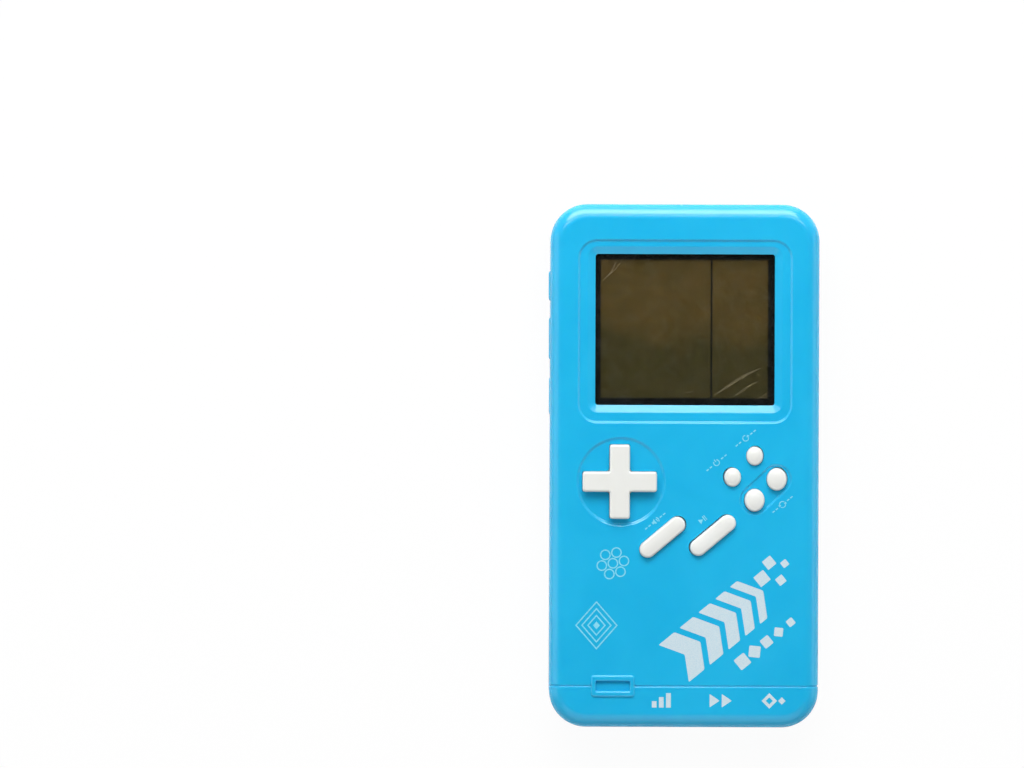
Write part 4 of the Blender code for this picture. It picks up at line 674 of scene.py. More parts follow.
def front_holes():
    """The window with its straight slope, the key holes, the screws' pilot holes and the groove."""
    low = INNER_Z - WALL
    sunk = FACE_Z - RECESS_DEPTH
    grow = 2 * (DPAD_PLAY - DPAD_WAIST)
    window = rounded_rect(WINDOW_HALF_X, WINDOW_HALF_Y, WINDOW_RADIUS, 10)
    made = [loft_at(window, window_profile(low), WINDOW),
            loft_at(cross(DPAD_SPAN + grow, DPAD_ARM + grow, *DPAD_HOLE_CORNERS),
                    lip_profile(low, sunk, KEY_LIP), DPAD)]
    for name, shift in {**ROUND_KEYS, **PILL_KEYS}.items():
        outline, turn = key_outline(name)
        face = sunk if name in ("rotate_key", "drop_key") else FACE_Z
        sides = [(KEY_PLAY + grow, z) for grow, z in lip_profile(low, face, KEY_LIP)]
        for share in (0, 1):
            made.append(loft_at(outline, sides, middle(name) + Vector((*shift, 0)) * MM * share, turn))
    for prefix, radius in (("case_screw", PILOT_RADIUS), ("board_screw", POST_PILOT_RADIUS)):
        made += [round_bar(radius, RIM_Z - MM, high.z + MM, at, 16) for _, at, (_, high) in screws(prefix)]
    return made + [groove_cutter()]


def window_profile(low):
    """A straight slope from the window's rim that turns over into the surround's floor."""
    floor = FACE_Z - BEZEL_STEP
    rim = INNER_Z + WINDOW_LIP
    drop = floor - rim
    profile = [(0, low), (0, rim - BEZEL_FOOT[1]), (BEZEL_FOOT[0], rim)]
    crown = BEZEL_CROWN * drop
    reach = BEZEL_CROWN * BEZEL_SLOPE
    for i in range(FINE_STEPS):
        t = i / FINE_STEPS
        profile.append((BEZEL_SLOPE + reach * (2 * t - 1), floor - crown * (1 - t) ** 2))
    profile = carried_on(profile, floor + 0.02 * drop)
    return profile + [(profile[-1][0], floor + 0.3 * drop)]


def key_radii(name):
    """Half width and half height of a round key above its flange."""
    half_x, half_y, _ = half_size(name)
    return half_x - FLANGE_RIM, half_y - FLANGE_RIM * KEY_OVAL


def key_outline(name):
    """Outline of a key above its flange, and how far it is turned."""
    if name in PILL_KEYS:
        return stadium(PILL_LENGTH, PILL_WIDTH, 16), PILL_ANGLE
    return ellipse(*key_radii(name)), 0.0


front_shell()


# ---- Rear shell and battery door ----
DOOR_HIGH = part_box("battery_door")[1]
TONGUE_REACH = 1.4 * MM
DOOR_HALF_X = DOOR_HIGH.x - TONGUE_REACH
SEAT_Z = DOOR_HIGH.z + GAP
SEAT_WALL = 1.2 * MM
DOOR_CORNER = 1.5 * MM
DOOR_TRAVEL = 7.0 * MM
TONGUE_LENGTH = 5.0 * MM
TONGUE_THICKNESS = 0.8 * MM
TONGUE_LIP = 0.8 * MM
TONGUE_Y = [DOOR_HIGH.y - (5.5 + 14.0 * i) * MM for i in range(2)]
BAY_WALL = 1.0 * MM
BAY_HALF_X = 0.5 * MM - middle("positive_plate").x
BAY_LOW_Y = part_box("battery_cell_1")[0].y - GAP
BAY_HIGH_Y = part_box("battery_cell_2")[1].y + GAP
BAY_CEILING_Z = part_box("battery_cell_1")[1].z + GAP
SEAM_TONGUE = (2.4 * MM, 1.0 * MM, 0.8 * MM)       # reach below and above the seam, thickness
SPEAKER_RING = 2.3 * MM
WIRE_WAY_RADIUS = 0.8 * MM
SCREW_SEAT = (2.1 * MM, 2.6 * MM)           # radius and depth of a case screw's counterbore
ARROW = (2.7 * MM, 1.5 * MM, 0.35 * MM)     # outer and inner radius and depth of the door's arrow
ARROW_UP = 4.5 * MM                         # from the first grip groove
GRIP_GROOVES = 5
GRIP_LENGTH = 15.8 * MM
GRIP_WIDTH = 0.8 * MM
GRIP_DEPTH = 0.4 * MM
GRIP_LIP = 0.25 * MM
GRIP_PITCH = 2.2 * MM
GRILLE_SLOTS = 7
GRILLE_RADIUS = 11.2 * MM
GRILLE_PITCH = 3.2 * MM
GRILLE_WIDTH = 1.4 * MM


def bottom_profile(inset, top, chamfer):
    """The case's lower rounding and side, from the back face up."""
    radius = EDGE_RADIUS - inset
    points = [(-inset - radius * (1 - n), inset + radius * c) for n, c in quarter(EDGE_STEPS)]
    points.append((-inset, top - chamfer))
    return points + ([(-inset - chamfer, top)] if chamfer else [])


def rear_shell():
    base = body_loft(bottom_profile(0.0, PARTING_Z, SEAM_CHAMFER))
    base = cut(base, [body_loft(bottom_profile(WALL, PARTING_Z + MM, 0.0))])
    base = cut(joined(base, rear_additions()), rear_cuts())
    piece("rear_shell_moulding", base, "blue_plastic", replaces=["rear_shell"])


def rear_additions():
    """Tongue, bosses, the door's ledge, the battery box and the speaker's ring."""
    foot, top = PARTING_Z - SEAM_TONGUE[0], PARTING_Z + SEAM_TONGUE[1]
    root = body_loft([(GAP - WALL, foot), (GAP - WALL, PARTING_Z - GAP)])
    outer = body_loft([(-WALL - GAP, foot + GAP), (-WALL - GAP, top),
                       (-WALL - 2 * GAP, top + 0.2 * MM)])
    inner = -WALL - GAP - SEAM_TONGUE[2]
    inside = body_loft([(inner, foot - MM), (inner, PARTING_Z + 2 * MM)])
    made = [cut(joined(root, [outer]), [inside])]
    made += [round_bar(BOSS_RADIUS, WALL - ROOT, PARTING_Z, at) for _, at, _ in screws("case_screw")]
    rail = DOOR_HALF_X + TONGUE_REACH + GAP + BAY_WALL
    made.append(box_mesh((-rail, WALL - ROOT - HALF_Y, WALL - GAP),
                         (rail, DOOR_HIGH.y + GAP + BAY_WALL, SEAT_Z + SEAT_WALL)))
    wall_x = BAY_HALF_X + BAY_WALL
    made.append(box_mesh((-wall_x, BAY_LOW_Y - BAY_WALL, SEAT_Z + GAP),
                         (wall_x, BAY_HIGH_Y + BAY_WALL, BAY_CEILING_Z + BAY_WALL), 0.6 * MM))
    radius, speaker = half_size("speaker_frame")[0] + GAP, middle("speaker_frame")
    return made + [cut(round_bar(radius + BAY_WALL, WALL - ROOT, WALL + SPEAKER_RING, speaker, 64),
                       [round_bar(radius, WALL - 2 * ROOT, WALL + 3 * MM, speaker, 64)])]


def rear_cuts():
    """The door's slot with its grooves, the battery room, screw holes, wire ways and the grille."""
    slot = rounded_rect(DOOR_HALF_X + GAP, HALF_Y, DOOR_CORNER, 8)
    side = flipped(lip_profile(-SEAT_Z, 0.0, LIP))
    made = [loft_at(slot, side, (0, DOOR_HIGH.y + GAP - HALF_Y)),
            box_mesh((-BAY_HALF_X, BAY_LOW_Y, -MM), (BAY_HALF_X, BAY_HIGH_Y, BAY_CEILING_Z), 0.5 * MM)]
    groove_x = DOOR_HALF_X + TONGUE_REACH + GAP
    for y in TONGUE_Y:
        top = y + TONGUE_LENGTH / 2 + GAP
        end = top - TONGUE_LENGTH - 2 * GAP - DOOR_TRAVEL
        ceiling, notch_top = SEAT_Z - 0.01 * MM, end + TONGUE_LENGTH + 2 * GAP
        made += [box_mesh((-groove_x, end, TONGUE_LIP), (groove_x, top, ceiling)),
                 box_mesh((-groove_x, end, -MM), (groove_x, notch_top, ceiling), 0.3 * MM)]
    for cell in (middle("battery_cell_1"), middle("battery_cell_2")):
        way = loft(ellipse(WIRE_WAY_RADIUS, WIRE_WAY_RADIUS, 16), [(0, -1.5 * BAY_WALL), (0, 1.5 * BAY_WALL)])
        made.append(placed(way, (-BAY_HALF_X - BAY_WALL / 2, cell.y, cell.z), math.pi / 2, "Y"))
    radius, depth = SCREW_SEAT
    for _, at, _ in screws("case_screw"):
        made += [loft_at(ellipse(radius, radius, 32), flipped(lip_profile(-depth, 0.0, LIP)), at),
                 round_bar(PILOT_RADIUS, MM, PARTING_Z + MM, at, 20)]
    speaker = middle("speaker_frame")
    through = flipped(lip_profile(-WALL - MM, 0.0, LIP))
    for i in range(GRILLE_SLOTS):
        y = (i - (GRILLE_SLOTS - 1) / 2) * GRILLE_PITCH
        length = 2 * math.sqrt(GRILLE_RADIUS ** 2 - y ** 2) + GRILLE_WIDTH
        made.append(loft_at(stadium(length, GRILLE_WIDTH, 10), through, (speaker.x, speaker.y + y)))
    return made


def battery_door():
    """Cut from the body's own form, with side tongues, grip grooves and a small outlined arrow."""
    whole = body_loft(bottom_profile(0.0, 2 * EDGE_RADIUS, 0.0))
    edge = [(-2 * LIP, -0.3 * LIP), (-LIP, 0.0), (-0.3 * LIP, 0.35 * LIP), (0, LIP),
            (0, DOOR_HIGH.z - 0.1 * MM), (-0.1 * MM, DOOR_HIGH.z)]
    outline = rounded_rect(DOOR_HALF_X, HALF_Y, DOOR_CORNER, 8)
    door = combine(whole, [loft_at(outline, edge, (0, DOOR_HIGH.y - HALF_Y))], "INTERSECT")
    tongues = []
    high_z = DOOR_HIGH.z - 0.1 * MM
    for y in TONGUE_Y:
        for side in (-1, 1):
            x = side * DOOR_HALF_X
            tongues.append(box_mesh((x - TONGUE_REACH, y - TONGUE_LENGTH / 2, high_z - TONGUE_THICKNESS),
                                    (x + TONGUE_REACH, y + TONGUE_LENGTH / 2, high_z), 0.4 * MM))
    groove = flipped(lip_profile(-GRIP_DEPTH, 0.0, GRIP_LIP))
    cuts = [loft_at(stadium(GRIP_LENGTH, GRIP_WIDTH, 10), groove, (0, BAY_LOW_Y - i * GRIP_PITCH))
            for i in range(GRIP_GROOVES)]
    outer, inner, depth = ARROW
    arrow = cut(loft(ellipse(outer, outer, 3), [(0, -depth), (0, depth)]),
                [loft(ellipse(inner, inner, 3), [(0, -MM), (0, MM)])])
    cuts.append(placed(arrow, (0, BAY_LOW_Y + ARROW_UP, 0), -math.pi / 2))
    piece("battery_door_moulding", cut(joined(door, tongues), cuts), "blue_plastic", body="door",
          replaces=["battery_door"])


rear_shell()
battery_door()


# ---- Screws ----
SHANK_RADIUS = 1.0 * MM
HEAD_HEIGHT = 1.3 * MM
THREAD_TURNS = 9
THREAD_ENDS = (0.6 * MM, 1.6 * MM)              # plain lengths under the head and at the tip
CROSS_SIZE = (1.15 * MM, 0.27 * MM, 0.75 * MM)  # half length, half width and depth of the cross recess


def case_screws():
    """Pan-head screws that point up, with a thread and a cross recess."""
    for name, at, (low, high) in screws("case_screw"):
        head_radius, seat = half_size(name)[0], low.z + HEAD_HEIGHT
        profile = [(0.55 * head_radius, low.z), (0.85 * head_radius, low.z + 0.15 * MM),
                   (head_radius, low.z + 0.6 * MM), (head_radius, seat), (SHANK_RADIUS, seat)]
        pitch = (high.z - THREAD_ENDS[1] - seat - THREAD_ENDS[0]) / THREAD_TURNS
        for i in range(THREAD_TURNS):
            base = seat + THREAD_ENDS[0] + i * pitch
            profile += [(share * SHANK_RADIUS, base + rise * pitch)
                        for share, rise in ((0.72, 0.0), (0.72, 0.35), (1.0, 0.7))]
        profile += [(0.6 * SHANK_RADIUS, high.z - 0.8 * MM), (0.15 * SHANK_RADIUS, high.z)]
        x, y, z = CROSS_SIZE
        bars = [placed(box_mesh((-x, -y, -MM), (x, y, z), 0.1 * MM), (0, 0, low.z), turn * math.pi / 2 + 0.35)
                for turn in range(2)]
        screw = cut(loft(ellipse(0, 0, 40), profile), bars)
        piece(f"{name}_turned", placed(screw, (at.x, at.y, 0)), "steel", replaces=[name])


case_screws()


# ---- Keys ----
ROUND_TOP = (0.9 * MM, 0.35 * MM)       # rounding of the edge and height of the dome
PILL_TOP = (0.85 * MM, 0.15 * MM)
TOP_REST = 0.05 * MM                    # what is left flat at the middle
TOP_STEPS = 8
DPAD_EDGE = 0.75 * MM
DPAD_ROOT = 0.5 * MM
SOCKET_RADIUS = 3.2 * MM
SOCKET_HOLLOW = 1.7 * MM
SOCKET_ROOT = 0.3 * MM


def key_top(top, edge, crown, reach):
    """From a key's side over its rounded edge to the middle of its slightly domed top."""
    shoulder = top - crown - edge
    shares = [i / TOP_STEPS for i in range(1, TOP_STEPS + 1)]
    return ([(-edge * c, shoulder + edge * n) for n, c in quarter(TOP_STEPS)]
            + [(-edge - (reach - edge) * t, top - crown * (1 - t) ** 2) for t in shares])


def key_cap(name, edge, crown, reach):
    low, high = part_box(name)
    outline, turn = key_outline(name)
    flange = low.z + FLANGE_THICKNESS
    profile = [(FLANGE_RIM, low.z), (FLANGE_RIM, flange), (0, flange)] + key_top(high.z, edge, crown, reach)
    piece(f"{name}_cap", loft_at(outline, profile, middle(name), turn), "white_plastic", body=name,
          replaces=[name])


for key in ROUND_KEYS:
    key_cap(key, *ROUND_TOP, key_radii(key)[0] - TOP_REST)
for key in PILL_KEYS:
    key_cap(key, *PILL_TOP, PILL_WIDTH / 2 - TOP_REST)


def dpad_key():
    low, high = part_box("dpad_key")
    flange = DPAD_FLANGE_LOW
    waist = FACE_Z - RECESS_DEPTH + DPAD_WAIST_RISE
    profile = [(-DPAD_WAIST, flange + FLANGE_THICKNESS / 2)]
    profile += [(-DPAD_WAIST * (1 - n), waist + DPAD_WAIST * c) for n, c in quarter(FINE_STEPS)]
    shoulder = high.z - DPAD_EDGE
    profile += [(-DPAD_EDGE * c, shoulder + DPAD_EDGE * n) for n, c in quarter(7)]
    body = loft_at(cross(DPAD_SPAN, DPAD_ARM, DPAD_CORNER, DPAD_ROOT), profile, DPAD)
    disc = round_bar(half_size("dpad_key")[0], flange, flange + FLANGE_THICKNESS, DPAD, 96)
    socket = round_bar(SOCKET_RADIUS, low.z, flange + SOCKET_ROOT, DPAD, 48)
    bm = bmesh.new()
    bmesh.ops.create_uvsphere(bm, u_segments=32, v_segments=16, radius=SOCKET_HOLLOW)
    hollow = placed(finished(bm, outwards=False), middle("dpad_pivot_ball"))
    piece("dpad_key_cap", cut(joined(body, [disc, socket]), [hollow]), "white_plastic", body="dpad",
          replaces=["dpad_key"])


dpad_key()


# ---- Membranes: a flat sheet for each group of keys, and silicone domes under the keys ----
SHEET_THICKNESS = 0.8 * MM
DOME_RADIUS = 2.9 * MM
DOME_TOP_RADIUS = 1.7 * MM
DPAD_DOME_OFFSET = 7.6 * MM


def dome(name, at, low, top):
    """A silicone dome standing on its membrane sheet under a key."""
    foot = low + SHEET_THICKNESS
    neck, shoulder = DOME_TOP_RADIUS - DOME_RADIUS, top - 1.0 * MM
    profile = [(0.30 * MM, low + 0.2 * MM), (0.30 * MM, foot), (0.10 * MM, foot + 0.08 * MM),
               (0, foot + 0.25 * MM), (0.92 * neck, shoulder - 0.12 * MM), (neck, shoulder),
               (neck, top - 0.15 * MM), (neck - 0.12 * MM, top)]
    made = piece(name, loft_at(ellipse(DOME_RADIUS, DOME_RADIUS, 32), profile, at), "grey_silicone")
    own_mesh(made)


def membrane_sheet(node, outline, turn=0.0, more=()):
    """The flat sheet with chamfered edges, joined with more."""
    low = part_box(node)[0].z
    profile = [(-0.1 * MM, low), (0, low + 0.1 * MM), (0, low + SHEET_THICKNESS - 0.15 * MM),
               (-0.15 * MM, low + SHEET_THICKNESS)]
    sheet = loft_at(outline, profile, middle(node), turn)
    piece(f"{node}_sheet", joined(sheet, more) if more else sheet, "grey_silicone", replaces=[node])


def membranes():
    low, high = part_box("dpad_membrane")
    for i in range(4):
        angle = math.pi / 2 * i
        at = (DPAD.x + DPAD_DOME_OFFSET * math.cos(angle), DPAD.y + DPAD_DOME_OFFSET * math.sin(angle))
        dome(f"dpad_dome_{i + 1}", at, low.z, min(high.z, DPAD_FLANGE_LOW - GAP))
    ball_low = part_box("dpad_pivot_ball")[0].z
    pillar = round_bar(DOME_RADIUS, low.z + SHEET_THICKNESS / 2, ball_low - GAP, DPAD, 32)
    membrane_sheet("dpad_membrane", ellipse(*half_size("dpad_membrane")[:2]), more=[pillar])
    for group, names in (("round_key_membrane", ROUND_KEYS), ("pill_key_membrane", PILL_KEYS)):
        low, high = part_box(group)
        for name in names:
            dome(f"{name}_dome", middle(name), low.z, high.z)
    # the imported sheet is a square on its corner: half its box's width is half its diagonal less the rounding
    side = (half_size("round_key_membrane")[0] - DOME_RADIUS) / math.sqrt(2) + DOME_RADIUS
    membrane_sheet("round_key_membrane", rounded_rect(side, side, DOME_RADIUS, 8), math.pi / 4)
    a, b = middle("sound_key"), middle("start_key")
    margin = half_size("pill_key_membrane")[0] - abs(a.x - b.x) / 2
    membrane_sheet("pill_key_membrane", stadium((a - b).xy.length + 2 * margin, 2 * margin, 16),
                   math.atan2(b.y - a.y, b.x - a.x))


membranes()


# ---- Screen ----
INK = 0.02 * MM
FRONT_GLASS_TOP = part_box("lcd_front_glass")[1].z
DIVIDER_X = 7.9 * MM
DIVIDER_WIDTH = 0.5 * MM
FILM_BASE, FILM_HIGH = [corner.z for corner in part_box("screen_film")]
FILM_TOP = FILM_HIGH - 0.06 * MM        # room for its waves and creases
FILM_GRID = (52, 44)
CREASE_STEPS = 20
CREASE_HEIGHT = 0.05        # mm
SPECKS, GATHERED_SPECKS = 26, 9


def plate(name, loops, low, slot, finish):
    """A thin print in the outlines, holes where outlines lie inside others. Loops are in metres."""
    curve = bpy.data.curves.new(name, "CURVE")
    curve.dimensions = "2D"
    curve.fill_mode = "BOTH"
    curve.extrude = INK / MM / 2
    for loop in loops:
        spline = curve.splines.new("POLY")
        spline.points.add(len(loop) - 1)
        for point, (x, y) in zip(spline.points, loop):
            point.co = (x / MM, y / MM, 0, 1)
        spline.use_cyclic_u = True
    obj = add_object(name, curve)
    mesh = evaluated_mesh(obj)
    bpy.data.objects.remove(obj)
    mesh.transform(Matrix.Translation((0, 0, low + INK / 2)) @ Matrix.Scale(MM, 4))
    piece(name, mesh, slot, finish=finish)


def rectangle(low_x, low_y, high_x, high_y):
    return [(low_x, low_y), (high_x, low_y), (high_x, high_y), (low_x, high_y)]


def lcd_mask():
    """The black border printed on the glass, whose soft inner edge is painted shade of the window's rim, and
    the printed line between play field and score panel.
    """
    (low_x, high_x), (low_y, high_y) = MASK_WINDOW
    # The border: black print that also stands in as painted shade next to the window's rim.
    outer, inner = [rectangle(low_x - wide, low_y - wide, high_x + wide, high_y + wide)
                    for wide in (MASK_REACH, -PAINTED_SHADE_FADE)]
    plate("lcd_mask", [outer, inner], FRONT_GLASS_TOP + INK, "panel_glass", "black_print_and_painted_shade")
    half = DIVIDER_WIDTH / 2
    line = rectangle(DIVIDER_X - half, low_y, DIVIDER_X + half, high_y)
    plate("lcd_divider", [line], FRONT_GLASS_TOP + 2.5 * INK, "panel_glass", "black_mask")


def on_film(x, y, side_x=0.0, side_y=0.0, rise=0.0):
    """A place on the wavy film: x and y in mm from its middle, then a step sideways and up from there."""
    wave = 0.012 * math.sin(x / 7.0 + 0.8) * math.cos(y / 9.0) + 0.006 * math.sin(y / 3.1 + x / 5.3)
    return Vector((WINDOW.x + (x + side_x) * MM, WINDOW.y + (y + side_y) * MM, FILM_TOP + (wave + rise) * MM))


def screen_film():
    """The peel-off film, slightly wavy."""
    half_x, half_y = FILM_HALF[0] / MM, FILM_HALF[1] / MM
    count_x, count_y = FILM_GRID
    bm = bmesh.new()
    grid = [[bm.verts.new(on_film(half_x * (2 * i / count_x - 1), half_y * (2 * j / count_y - 1)))
             for i in range(count_x + 1)] for j in range(count_y + 1)]
    for lower, upper in zip(grid, grid[1:]):
        for i in range(count_x):
            bm.faces.new((lower[i], lower[i + 1], upper[i + 1], upper[i]))
    edge = (grid[0][:-1] + [row[-1] for row in grid[:-1]] + list(reversed(grid[-1][1:]))
            + [row[0] for row in reversed(grid[1:])])
    under = [bm.verts.new((v.co.x, v.co.y, FILM_BASE)) for v in edge]
    for i, v in enumerate(edge):
        j = (i + 1) % len(edge)
        bm.faces.new((v, under[i], under[j], edge[j]))
    bm.faces.new(list(reversed(under)))
    piece("screen_film_sheet", finished(bm), "clear_plastic", replaces=["screen_film"], finish="clear_film")


# Creases of the film in mm: start and end from the window's middle, width, sideways bow
CREASES = [((8.6, -19.6), (23.0, -11.0), 0.80, 0.5), ((14.2, -20.2), (21.8, -15.2), 0.65, 0.3),
           ((21.0, -20.6), (25.4, -18.0), 0.30, -0.3), ((-25.0, 14.0), (-20.4, 20.4), 0.50, -0.6),
           ((-23.6, 15.6), (-18.4, 20.9), 0.30, -0.4), ((-1.6, -19.2), (3.2, -18.2), 0.25, 0.1)]


def crease_ridge(bm, start, end, width, bow):
    """A low ridge, pointed at both ends, on the film."""
    (ax, ay), (bx, by) = start, end
    length = math.hypot(bx - ax, by - ay)
    nx, ny = -(by - ay) / length, (bx - ax) / length
    section = [(-0.5, 0.0), (-0.25, 0.7), (0.0, 1.0), (0.25, 0.7), (0.5, 0.0), (0.0, -0.25)]
    rings = []
    for i in range(CREASE_STEPS + 1):
        t = (i + 0.15) / (CREASE_STEPS + 0.3)
        swell = math.sin(math.pi * t) ** 0.7
        off = bow * math.sin(math.pi * t) + 0.06 * math.sin(9 * t + ax)
        x, y = ax + (bx - ax) * t + nx * off, ay + (by - ay) * t + ny * off
        wide, high = width * swell, CREASE_HEIGHT * swell
        rings.append([bm.verts.new(on_film(x, y, nx * u * wide, ny * u * wide, v * high))
                      for u, v in section])
    skin(bm, rings)


def film_creases():
    bm = bmesh.new()
    for crease in CREASES:
        crease_ridge(bm, *crease)
    piece("screen_film_creases", finished(bm), "clear_plastic", finish="film_crease")


def film_dust():
    """A few specks on the film, some of them gathered to the right of the middle."""
    rng = random.Random(7)
    bm = bmesh.new()
    for i in range(SPECKS):
        x, y = rng.uniform(-24, 24), rng.uniform(-19, 19)
        if i < GATHERED_SPECKS:
            x, y = 17 + rng.gauss(0, 1.6), 3 + rng.gauss(0, 2.0)
        size = rng.uniform(0.05, 0.11) * MM
        place = Matrix.Translation(on_film(x, y)) @ Matrix.Rotation(rng.uniform(0, 3), 4, "Z")
        place = place @ Matrix.Diagonal((rng.uniform(1.0, 2.2), 1, 0.5, 1))
        bmesh.ops.create_icosphere(bm, subdivisions=1, radius=size, matrix=place)
    piece("screen_dust", finished(bm, outwards=False), "clear_plastic", finish="dust")


lcd_mask()
screen_film()
film_creases()
film_dust()


# ---- Prints on the face. Everything is in mm until it is placed. ----
PRINT_SLANT = math.radians(39.4)
PRINT_ORIGIN = (-1.9, -66.9)
PRINT_LIFT = 0.003 * MM     # the prints' underside over the face
FOOT_MARKS_Y = -69.5
CIRCLES_AT = (-21.2, -28.9)
DIAMONDS_AT = (-26.0, -47.3)
LINE, FINE_LINE = 0.36, 0.26


def face_print(name, loops, ink):
    plate(name, loops, FACE_Z + PRINT_LIFT, "white_plastic", ink)


def moved(loops, x, y, turn=0.0):
    """Loops in mm turned and moved, in metres."""
    c, n = math.cos(turn), math.sin(turn)
    return [[((x + c * u - n * v) * MM, (y + n * u + c * v) * MM) for u, v in loop] for loop in loops]


def slanted(loops, u=0.0, v=0.0, turn=0.0):
    """Loops placed along the slanted print's own axes."""
    c, n = math.cos(PRINT_SLANT), math.sin(PRINT_SLANT)
    return moved(loops, PRINT_ORIGIN[0] + c * u - n * v, PRINT_ORIGIN[1] + n * u + c * v, PRINT_SLANT + turn)


def circle(radius):
    return arc_points(0.0, 0.0, radius, 0, 360, 40)[:-1]


def softened(loop, radius):
    """The loop with its corners cut round."""
    points = []
    for i, (x, y) in enumerate(loop):
        ax, ay = loop[i - 1]
        bx, by = loop[(i + 1) % len(loop)]
        la, lb = math.hypot(ax - x, ay - y), math.hypot(bx - x, by - y)
        start = (x + (ax - x) * radius / la, y + (ay - y) * radius / la)
        end = (x + (bx - x) * radius / lb, y + (by - y) * radius / lb)
        for t in (0.0, 0.25, 0.5, 0.75, 1.0):
            points.append(((1 - t) ** 2 * start[0] + 2 * t * (1 - t) * x + t * t * end[0],
                           (1 - t) ** 2 * start[1] + 2 * t * (1 - t) * y + t * t * end[1]))
    return points


def square(size, corner=0.25):
    half = size / 2
    return softened([(-half, -half), (half, -half), (half, half), (-half, half)], corner)


def diamond(half_x, half_y):
    return [(half_x, 0), (0, half_y), (-half_x, 0), (0, -half_y)]


def chevron(thick, half, depth):
    tip = thick + depth
    return softened([(0, -half), (thick, -half), (tip, 0), (thick, half), (0, half), (depth, 0)], 0.5)


def stroke(points, width):
    """Outline of an open line of that width."""
    left, right = [], []
    for i, (x, y) in enumerate(points):
        ax, ay = points[max(i - 1, 0)]
        bx, by = points[min(i + 1, len(points) - 1)]
        length = math.hypot(bx - ax, by - ay)
        nx, ny = -(by - ay) / length * width / 2, (bx - ax) / length * width / 2
        left.append((x + nx, y + ny))
        right.append((x - nx, y - ny))
    return left + right[::-1]


def arc_line(radius, start, end, steps=24, cx=0.0):
    return stroke(arc_points(cx, 0.0, radius, start, end, steps), FINE_LINE)


def slanted_pattern():
    """Bold chevrons that thin out into loose squares, and a row of squares under them, along the slant."""
    loops = []
    u = 4.4
    for thick in (6.0, 5.2, 4.4, 3.6, 2.8):
        loops += slanted([chevron(thick, 7.1, 4.2)], u, 7.2)
        u += thick + 2.0
    for u, v, size in ((40.6, 10.2, 3.7), (44.6, 6.3, 2.5), (45.2, 12.5, 3.1), (48.6, 9.4, 2.0)):
        loops += slanted([square(size)], u, v)
    face_print("print_chevrons", loops, "white_ink")
    loops = []
    for i in range(5):
        size = 3.8 - 0.4 * i
        loops += slanted([square(size, 0.4)], 20.6 + 4.6 * i, -5.2, math.pi / 4 * (i % 2))
    face_print("print_squares", loops, "white_ink")


def foot_marks():
    """Small solid marks under the groove."""
    bars = [rectangle(-2.9 + 2.1 * i, -2.1, -1.5 + 2.1 * i, -2.1 + h) for i, h in enumerate((1.9, 3.1, 4.3))]
    arrows = [softened([(x, -2.0), (x + 3.0, 0.0), (x, 2.0)], 0.3) for x in (-3.2, 0.4)]
    loops = []
    for x, mark in ((-6.6, bars), (10.8, arrows), (25.3, [diamond(2.3, 2.3), diamond(1.05, 1.05)]),
                    (29.0, [diamond(1.1, 1.1)])):
        loops += moved(mark, x, FOOT_MARKS_Y)
    face_print("print_foot_marks", loops, "white_ink")


def line_ornaments():
    """Thin line ornaments at the left: a ring of circles and nested diamonds."""
    loops = []
    for i in range(7):
        angle = math.radians(60 * i + 12)
        far = 3.35 if i < 6 else 0.0
        loops += moved([circle(1.4 + LINE / 2), circle(1.4 - LINE / 2)],
                       CIRCLES_AT[0] + far * math.cos(angle), CIRCLES_AT[1] + far * math.sin(angle))
    face_print("print_circles", loops, "pale_ink")
    loops = []
    for share in (1.0, 0.72, 0.44):
        half_x, half_y = 6.3 * share, 7.2 * share
        loops += [diamond(half_x, half_y), diamond(half_x - 1.33 * LINE, half_y - 1.52 * LINE)]
    loops = moved(loops + [diamond(1.0, 1.15)], *DIAMONDS_AT)
    face_print("print_diamonds", loops, "pale_ink")


def arrow_head(angle, radius, size):
    """A triangle at the end of an arc, pointing anticlockwise."""
    a = math.radians(angle)
    x, y = radius * math.cos(a), radius * math.sin(a)
    tx, ty = -math.sin(a), math.cos(a)
    nx, ny = math.cos(a), math.sin(a)
    return [(x + nx * size, y + ny * size), (x + tx * size * 1.5, y + ty * size * 1.5),
            (x - nx * size, y - ny * size)]


def key_marks():
    """Small pictograms by the keys, between short dashes."""
    marks = {
        "power": ((9.4, 1.0), 9.3, [arc_line(0.85, 125, 415), rectangle(-0.13, 0.25, 0.13, 1.15)]),
        "restart": ((18.0, 8.3), 8.1, [arc_line(0.85, 60, 345), arrow_head(352, 0.85, 0.48)]),
        "rotate": ((29.0, -11.3), 9.5, [arc_line(0.9, 20, 150), arrow_head(155, 0.9, 0.45),
                                        arc_line(0.9, 200, 330), arrow_head(335, 0.9, 0.45)]),
        "sound": ((-8.7, -16.4), 9.5, [[(-1.1, -0.35), (-0.6, -0.35), (0.0, -0.85), (0.0, 0.85), (-0.6, 0.35),
                                        (-1.1, 0.35)], arc_line(0.55, -45, 45, 10, 0.1),
                                       arc_line(1.05, -45, 45, 12, 0.1)]),
        "start": ((5.3, -15.9), 4.3, [[(-1.1, -0.8), (0.15, 0.0), (-1.1, 0.8)],
                                      rectangle(0.4, -0.8, 0.68, 0.8), rectangle(0.92, -0.8, 1.2, 0.8)]),
    }
    for name, ((x, y), length, loops) in marks.items():
        dashes = []
        reach = 1.75
        while reach + 0.7 <= length / 2:
            for low_u in (reach, -reach - 0.8):
                dashes.append(rectangle(low_u, -0.17, low_u + 0.8, 0.17))
            reach += 1.25
        face_print(f"print_{name}_mark", moved(loops + dashes, x, y, PRINT_SLANT), "pale_ink")


slanted_pattern()
foot_marks()
line_ornaments()
key_marks()


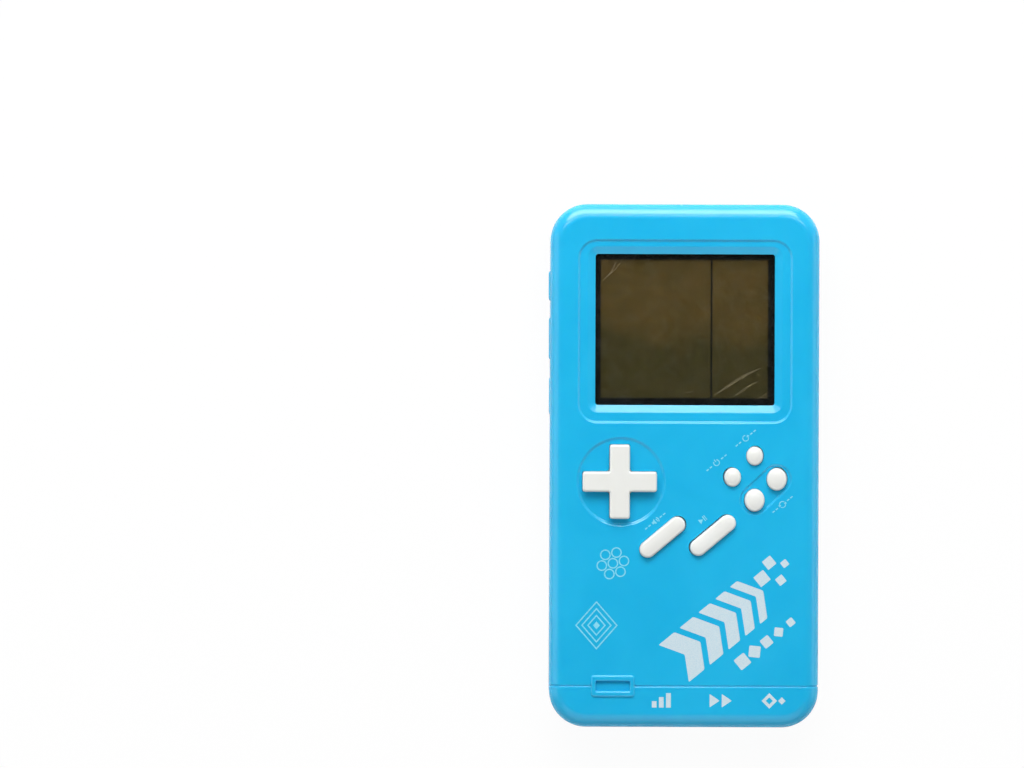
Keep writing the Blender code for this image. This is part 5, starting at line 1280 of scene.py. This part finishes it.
# ---- Floor, light and camera ----
FLOOR_RADIUS = 4.0
FLOOR_Z = -0.05 * MM
WHITE_SHARES = (0.95, 1.0)  # of plain white in what the camera sees of it, near and far
WHITE_RANGE = (0.16, 0.5)
CAMERA_DISTANCE = 1.0
CAMERA_FIELD = 0.3034       # width of the picture at the face
CAMERA_AT = (-0.0513, 0.0241)
CAMERA_ROLL = math.radians(0.22)
# Name, tilt and turn in degrees, distance, size, radiance
LAMPS = [("main_window", 48.5, 94, 1.1, (1.1, 0.46), 6.8), ("window_foot", 65, 94, 1.1, (0.8, 0.16), 4.5),
         ("window_head", 27, 92, 1.1, (1.2, 0.08), 6.0), ("far_wall", 84, 90, 1.3, (1.4, 0.3), 1.6),
         ("left_wall", 62, 180, 1.3, (0.8, 0.9), 0.75), ("right_wall", 70, 0, 1.3, (0.8, 0.6), 0.65),
         ("near_wall", 42, 270, 1.3, (1.4, 1.0), 0.7)]


def floor():
    bm = bmesh.new()
    bmesh.ops.create_circle(bm, cap_ends=True, radius=FLOOR_RADIUS, segments=96)
    mesh = finished(bm, outwards=False)
    obj = add_object("floor", mesh)
    obj.location = (0, 0, FLOOR_Z)
    paper = varied("floor_paper", (0.93, 0.93, 0.93), 0.9, Specular_IOR_Level=0.0,
                   shades=(60, 2, (0.925, 0.925, 0.925), (0.935, 0.935, 0.935)))
    far = paper.node("VectorMath", {0: paper.place}, operation="LENGTH")
    # To the camera it is white, but near the object a small part of it is lit paper that keeps the shadow
    share = paper.ramp(far.outputs["Value"], *WHITE_SHARES, *WHITE_RANGE)
    glow = paper.node("Emission", {"Color": (1, 1, 1, 1)})
    paper.mixed(glow.outputs["Emission"], paper.math("MULTIPLY", paper.ray("Is Camera Ray"), share))
    mesh.materials.append(paper.material)


def softbox(name, tilt, turn, distance, size, radiance):
    """An area lamp that faces the object: tilt from straight above, turn round from +X."""
    lamp = bpy.data.lights.new(name, "AREA")
    lamp.shape = "RECTANGLE"
    lamp.size, lamp.size_y = size
    lamp.energy = radiance * math.pi * size[0] * size[1]
    obj = add_object(name, lamp)
    tilt, turn = math.radians(tilt), math.radians(turn)
    place = Vector((math.sin(tilt) * math.cos(turn), math.sin(tilt) * math.sin(turn), math.cos(tilt)))
    obj.location = place * distance
    obj.rotation_euler = place.to_track_quat("Z", "Y").to_euler()
    obj.visible_camera = False


def world_light():
    """Dim overhead, brighter towards the horizon; white where the camera looks straight at it."""
    world = bpy.data.worlds.new("studio")
    bpy.context.scene.world = world
    world.use_nodes = True
    tree = world.node_tree
    tree.nodes.clear()
    direction = add_node(tree, "TexCoord").outputs["Generated"]
    height = add_node(tree, "SeparateXYZ", {"Vector": direction}).outputs["Z"]
    grey = colour_ramp(tree, height, (0.46, 0.46, 0.46), (0.02, 0.02, 0.02), 0.3, 0.97)
    lit, white = [add_node(tree, "Background", {"Color": colour}).outputs["Background"]
                  for colour in (grey, (1, 1, 1, 1))]
    seen = add_node(tree, "LightPath").outputs["Is Camera Ray"]
    mix = add_node(tree, "MixShader", {"Fac": seen, 1: lit, 2: white})
    add_node(tree, "OutputWorld", {"Surface": mix.outputs["Shader"]})


def camera():
    """Straight above, with the game to the right of the picture's middle and a little below it."""
    data = bpy.data.cameras.new("camera")
    data.sensor_width = 36.0
    data.lens = data.sensor_width * CAMERA_DISTANCE / CAMERA_FIELD
    obj = add_object("camera", data)
    obj.location = (*CAMERA_AT, FACE_Z + CAMERA_DISTANCE)
    obj.rotation_euler = (0, 0, CAMERA_ROLL)
    bpy.context.scene.camera = obj


floor()
for lamp_values in LAMPS:
    softbox(*lamp_values)
world_light()
camera()

scene = bpy.context.scene
scene.view_settings.view_transform = "Standard"

bpy.context.view_layer.update()
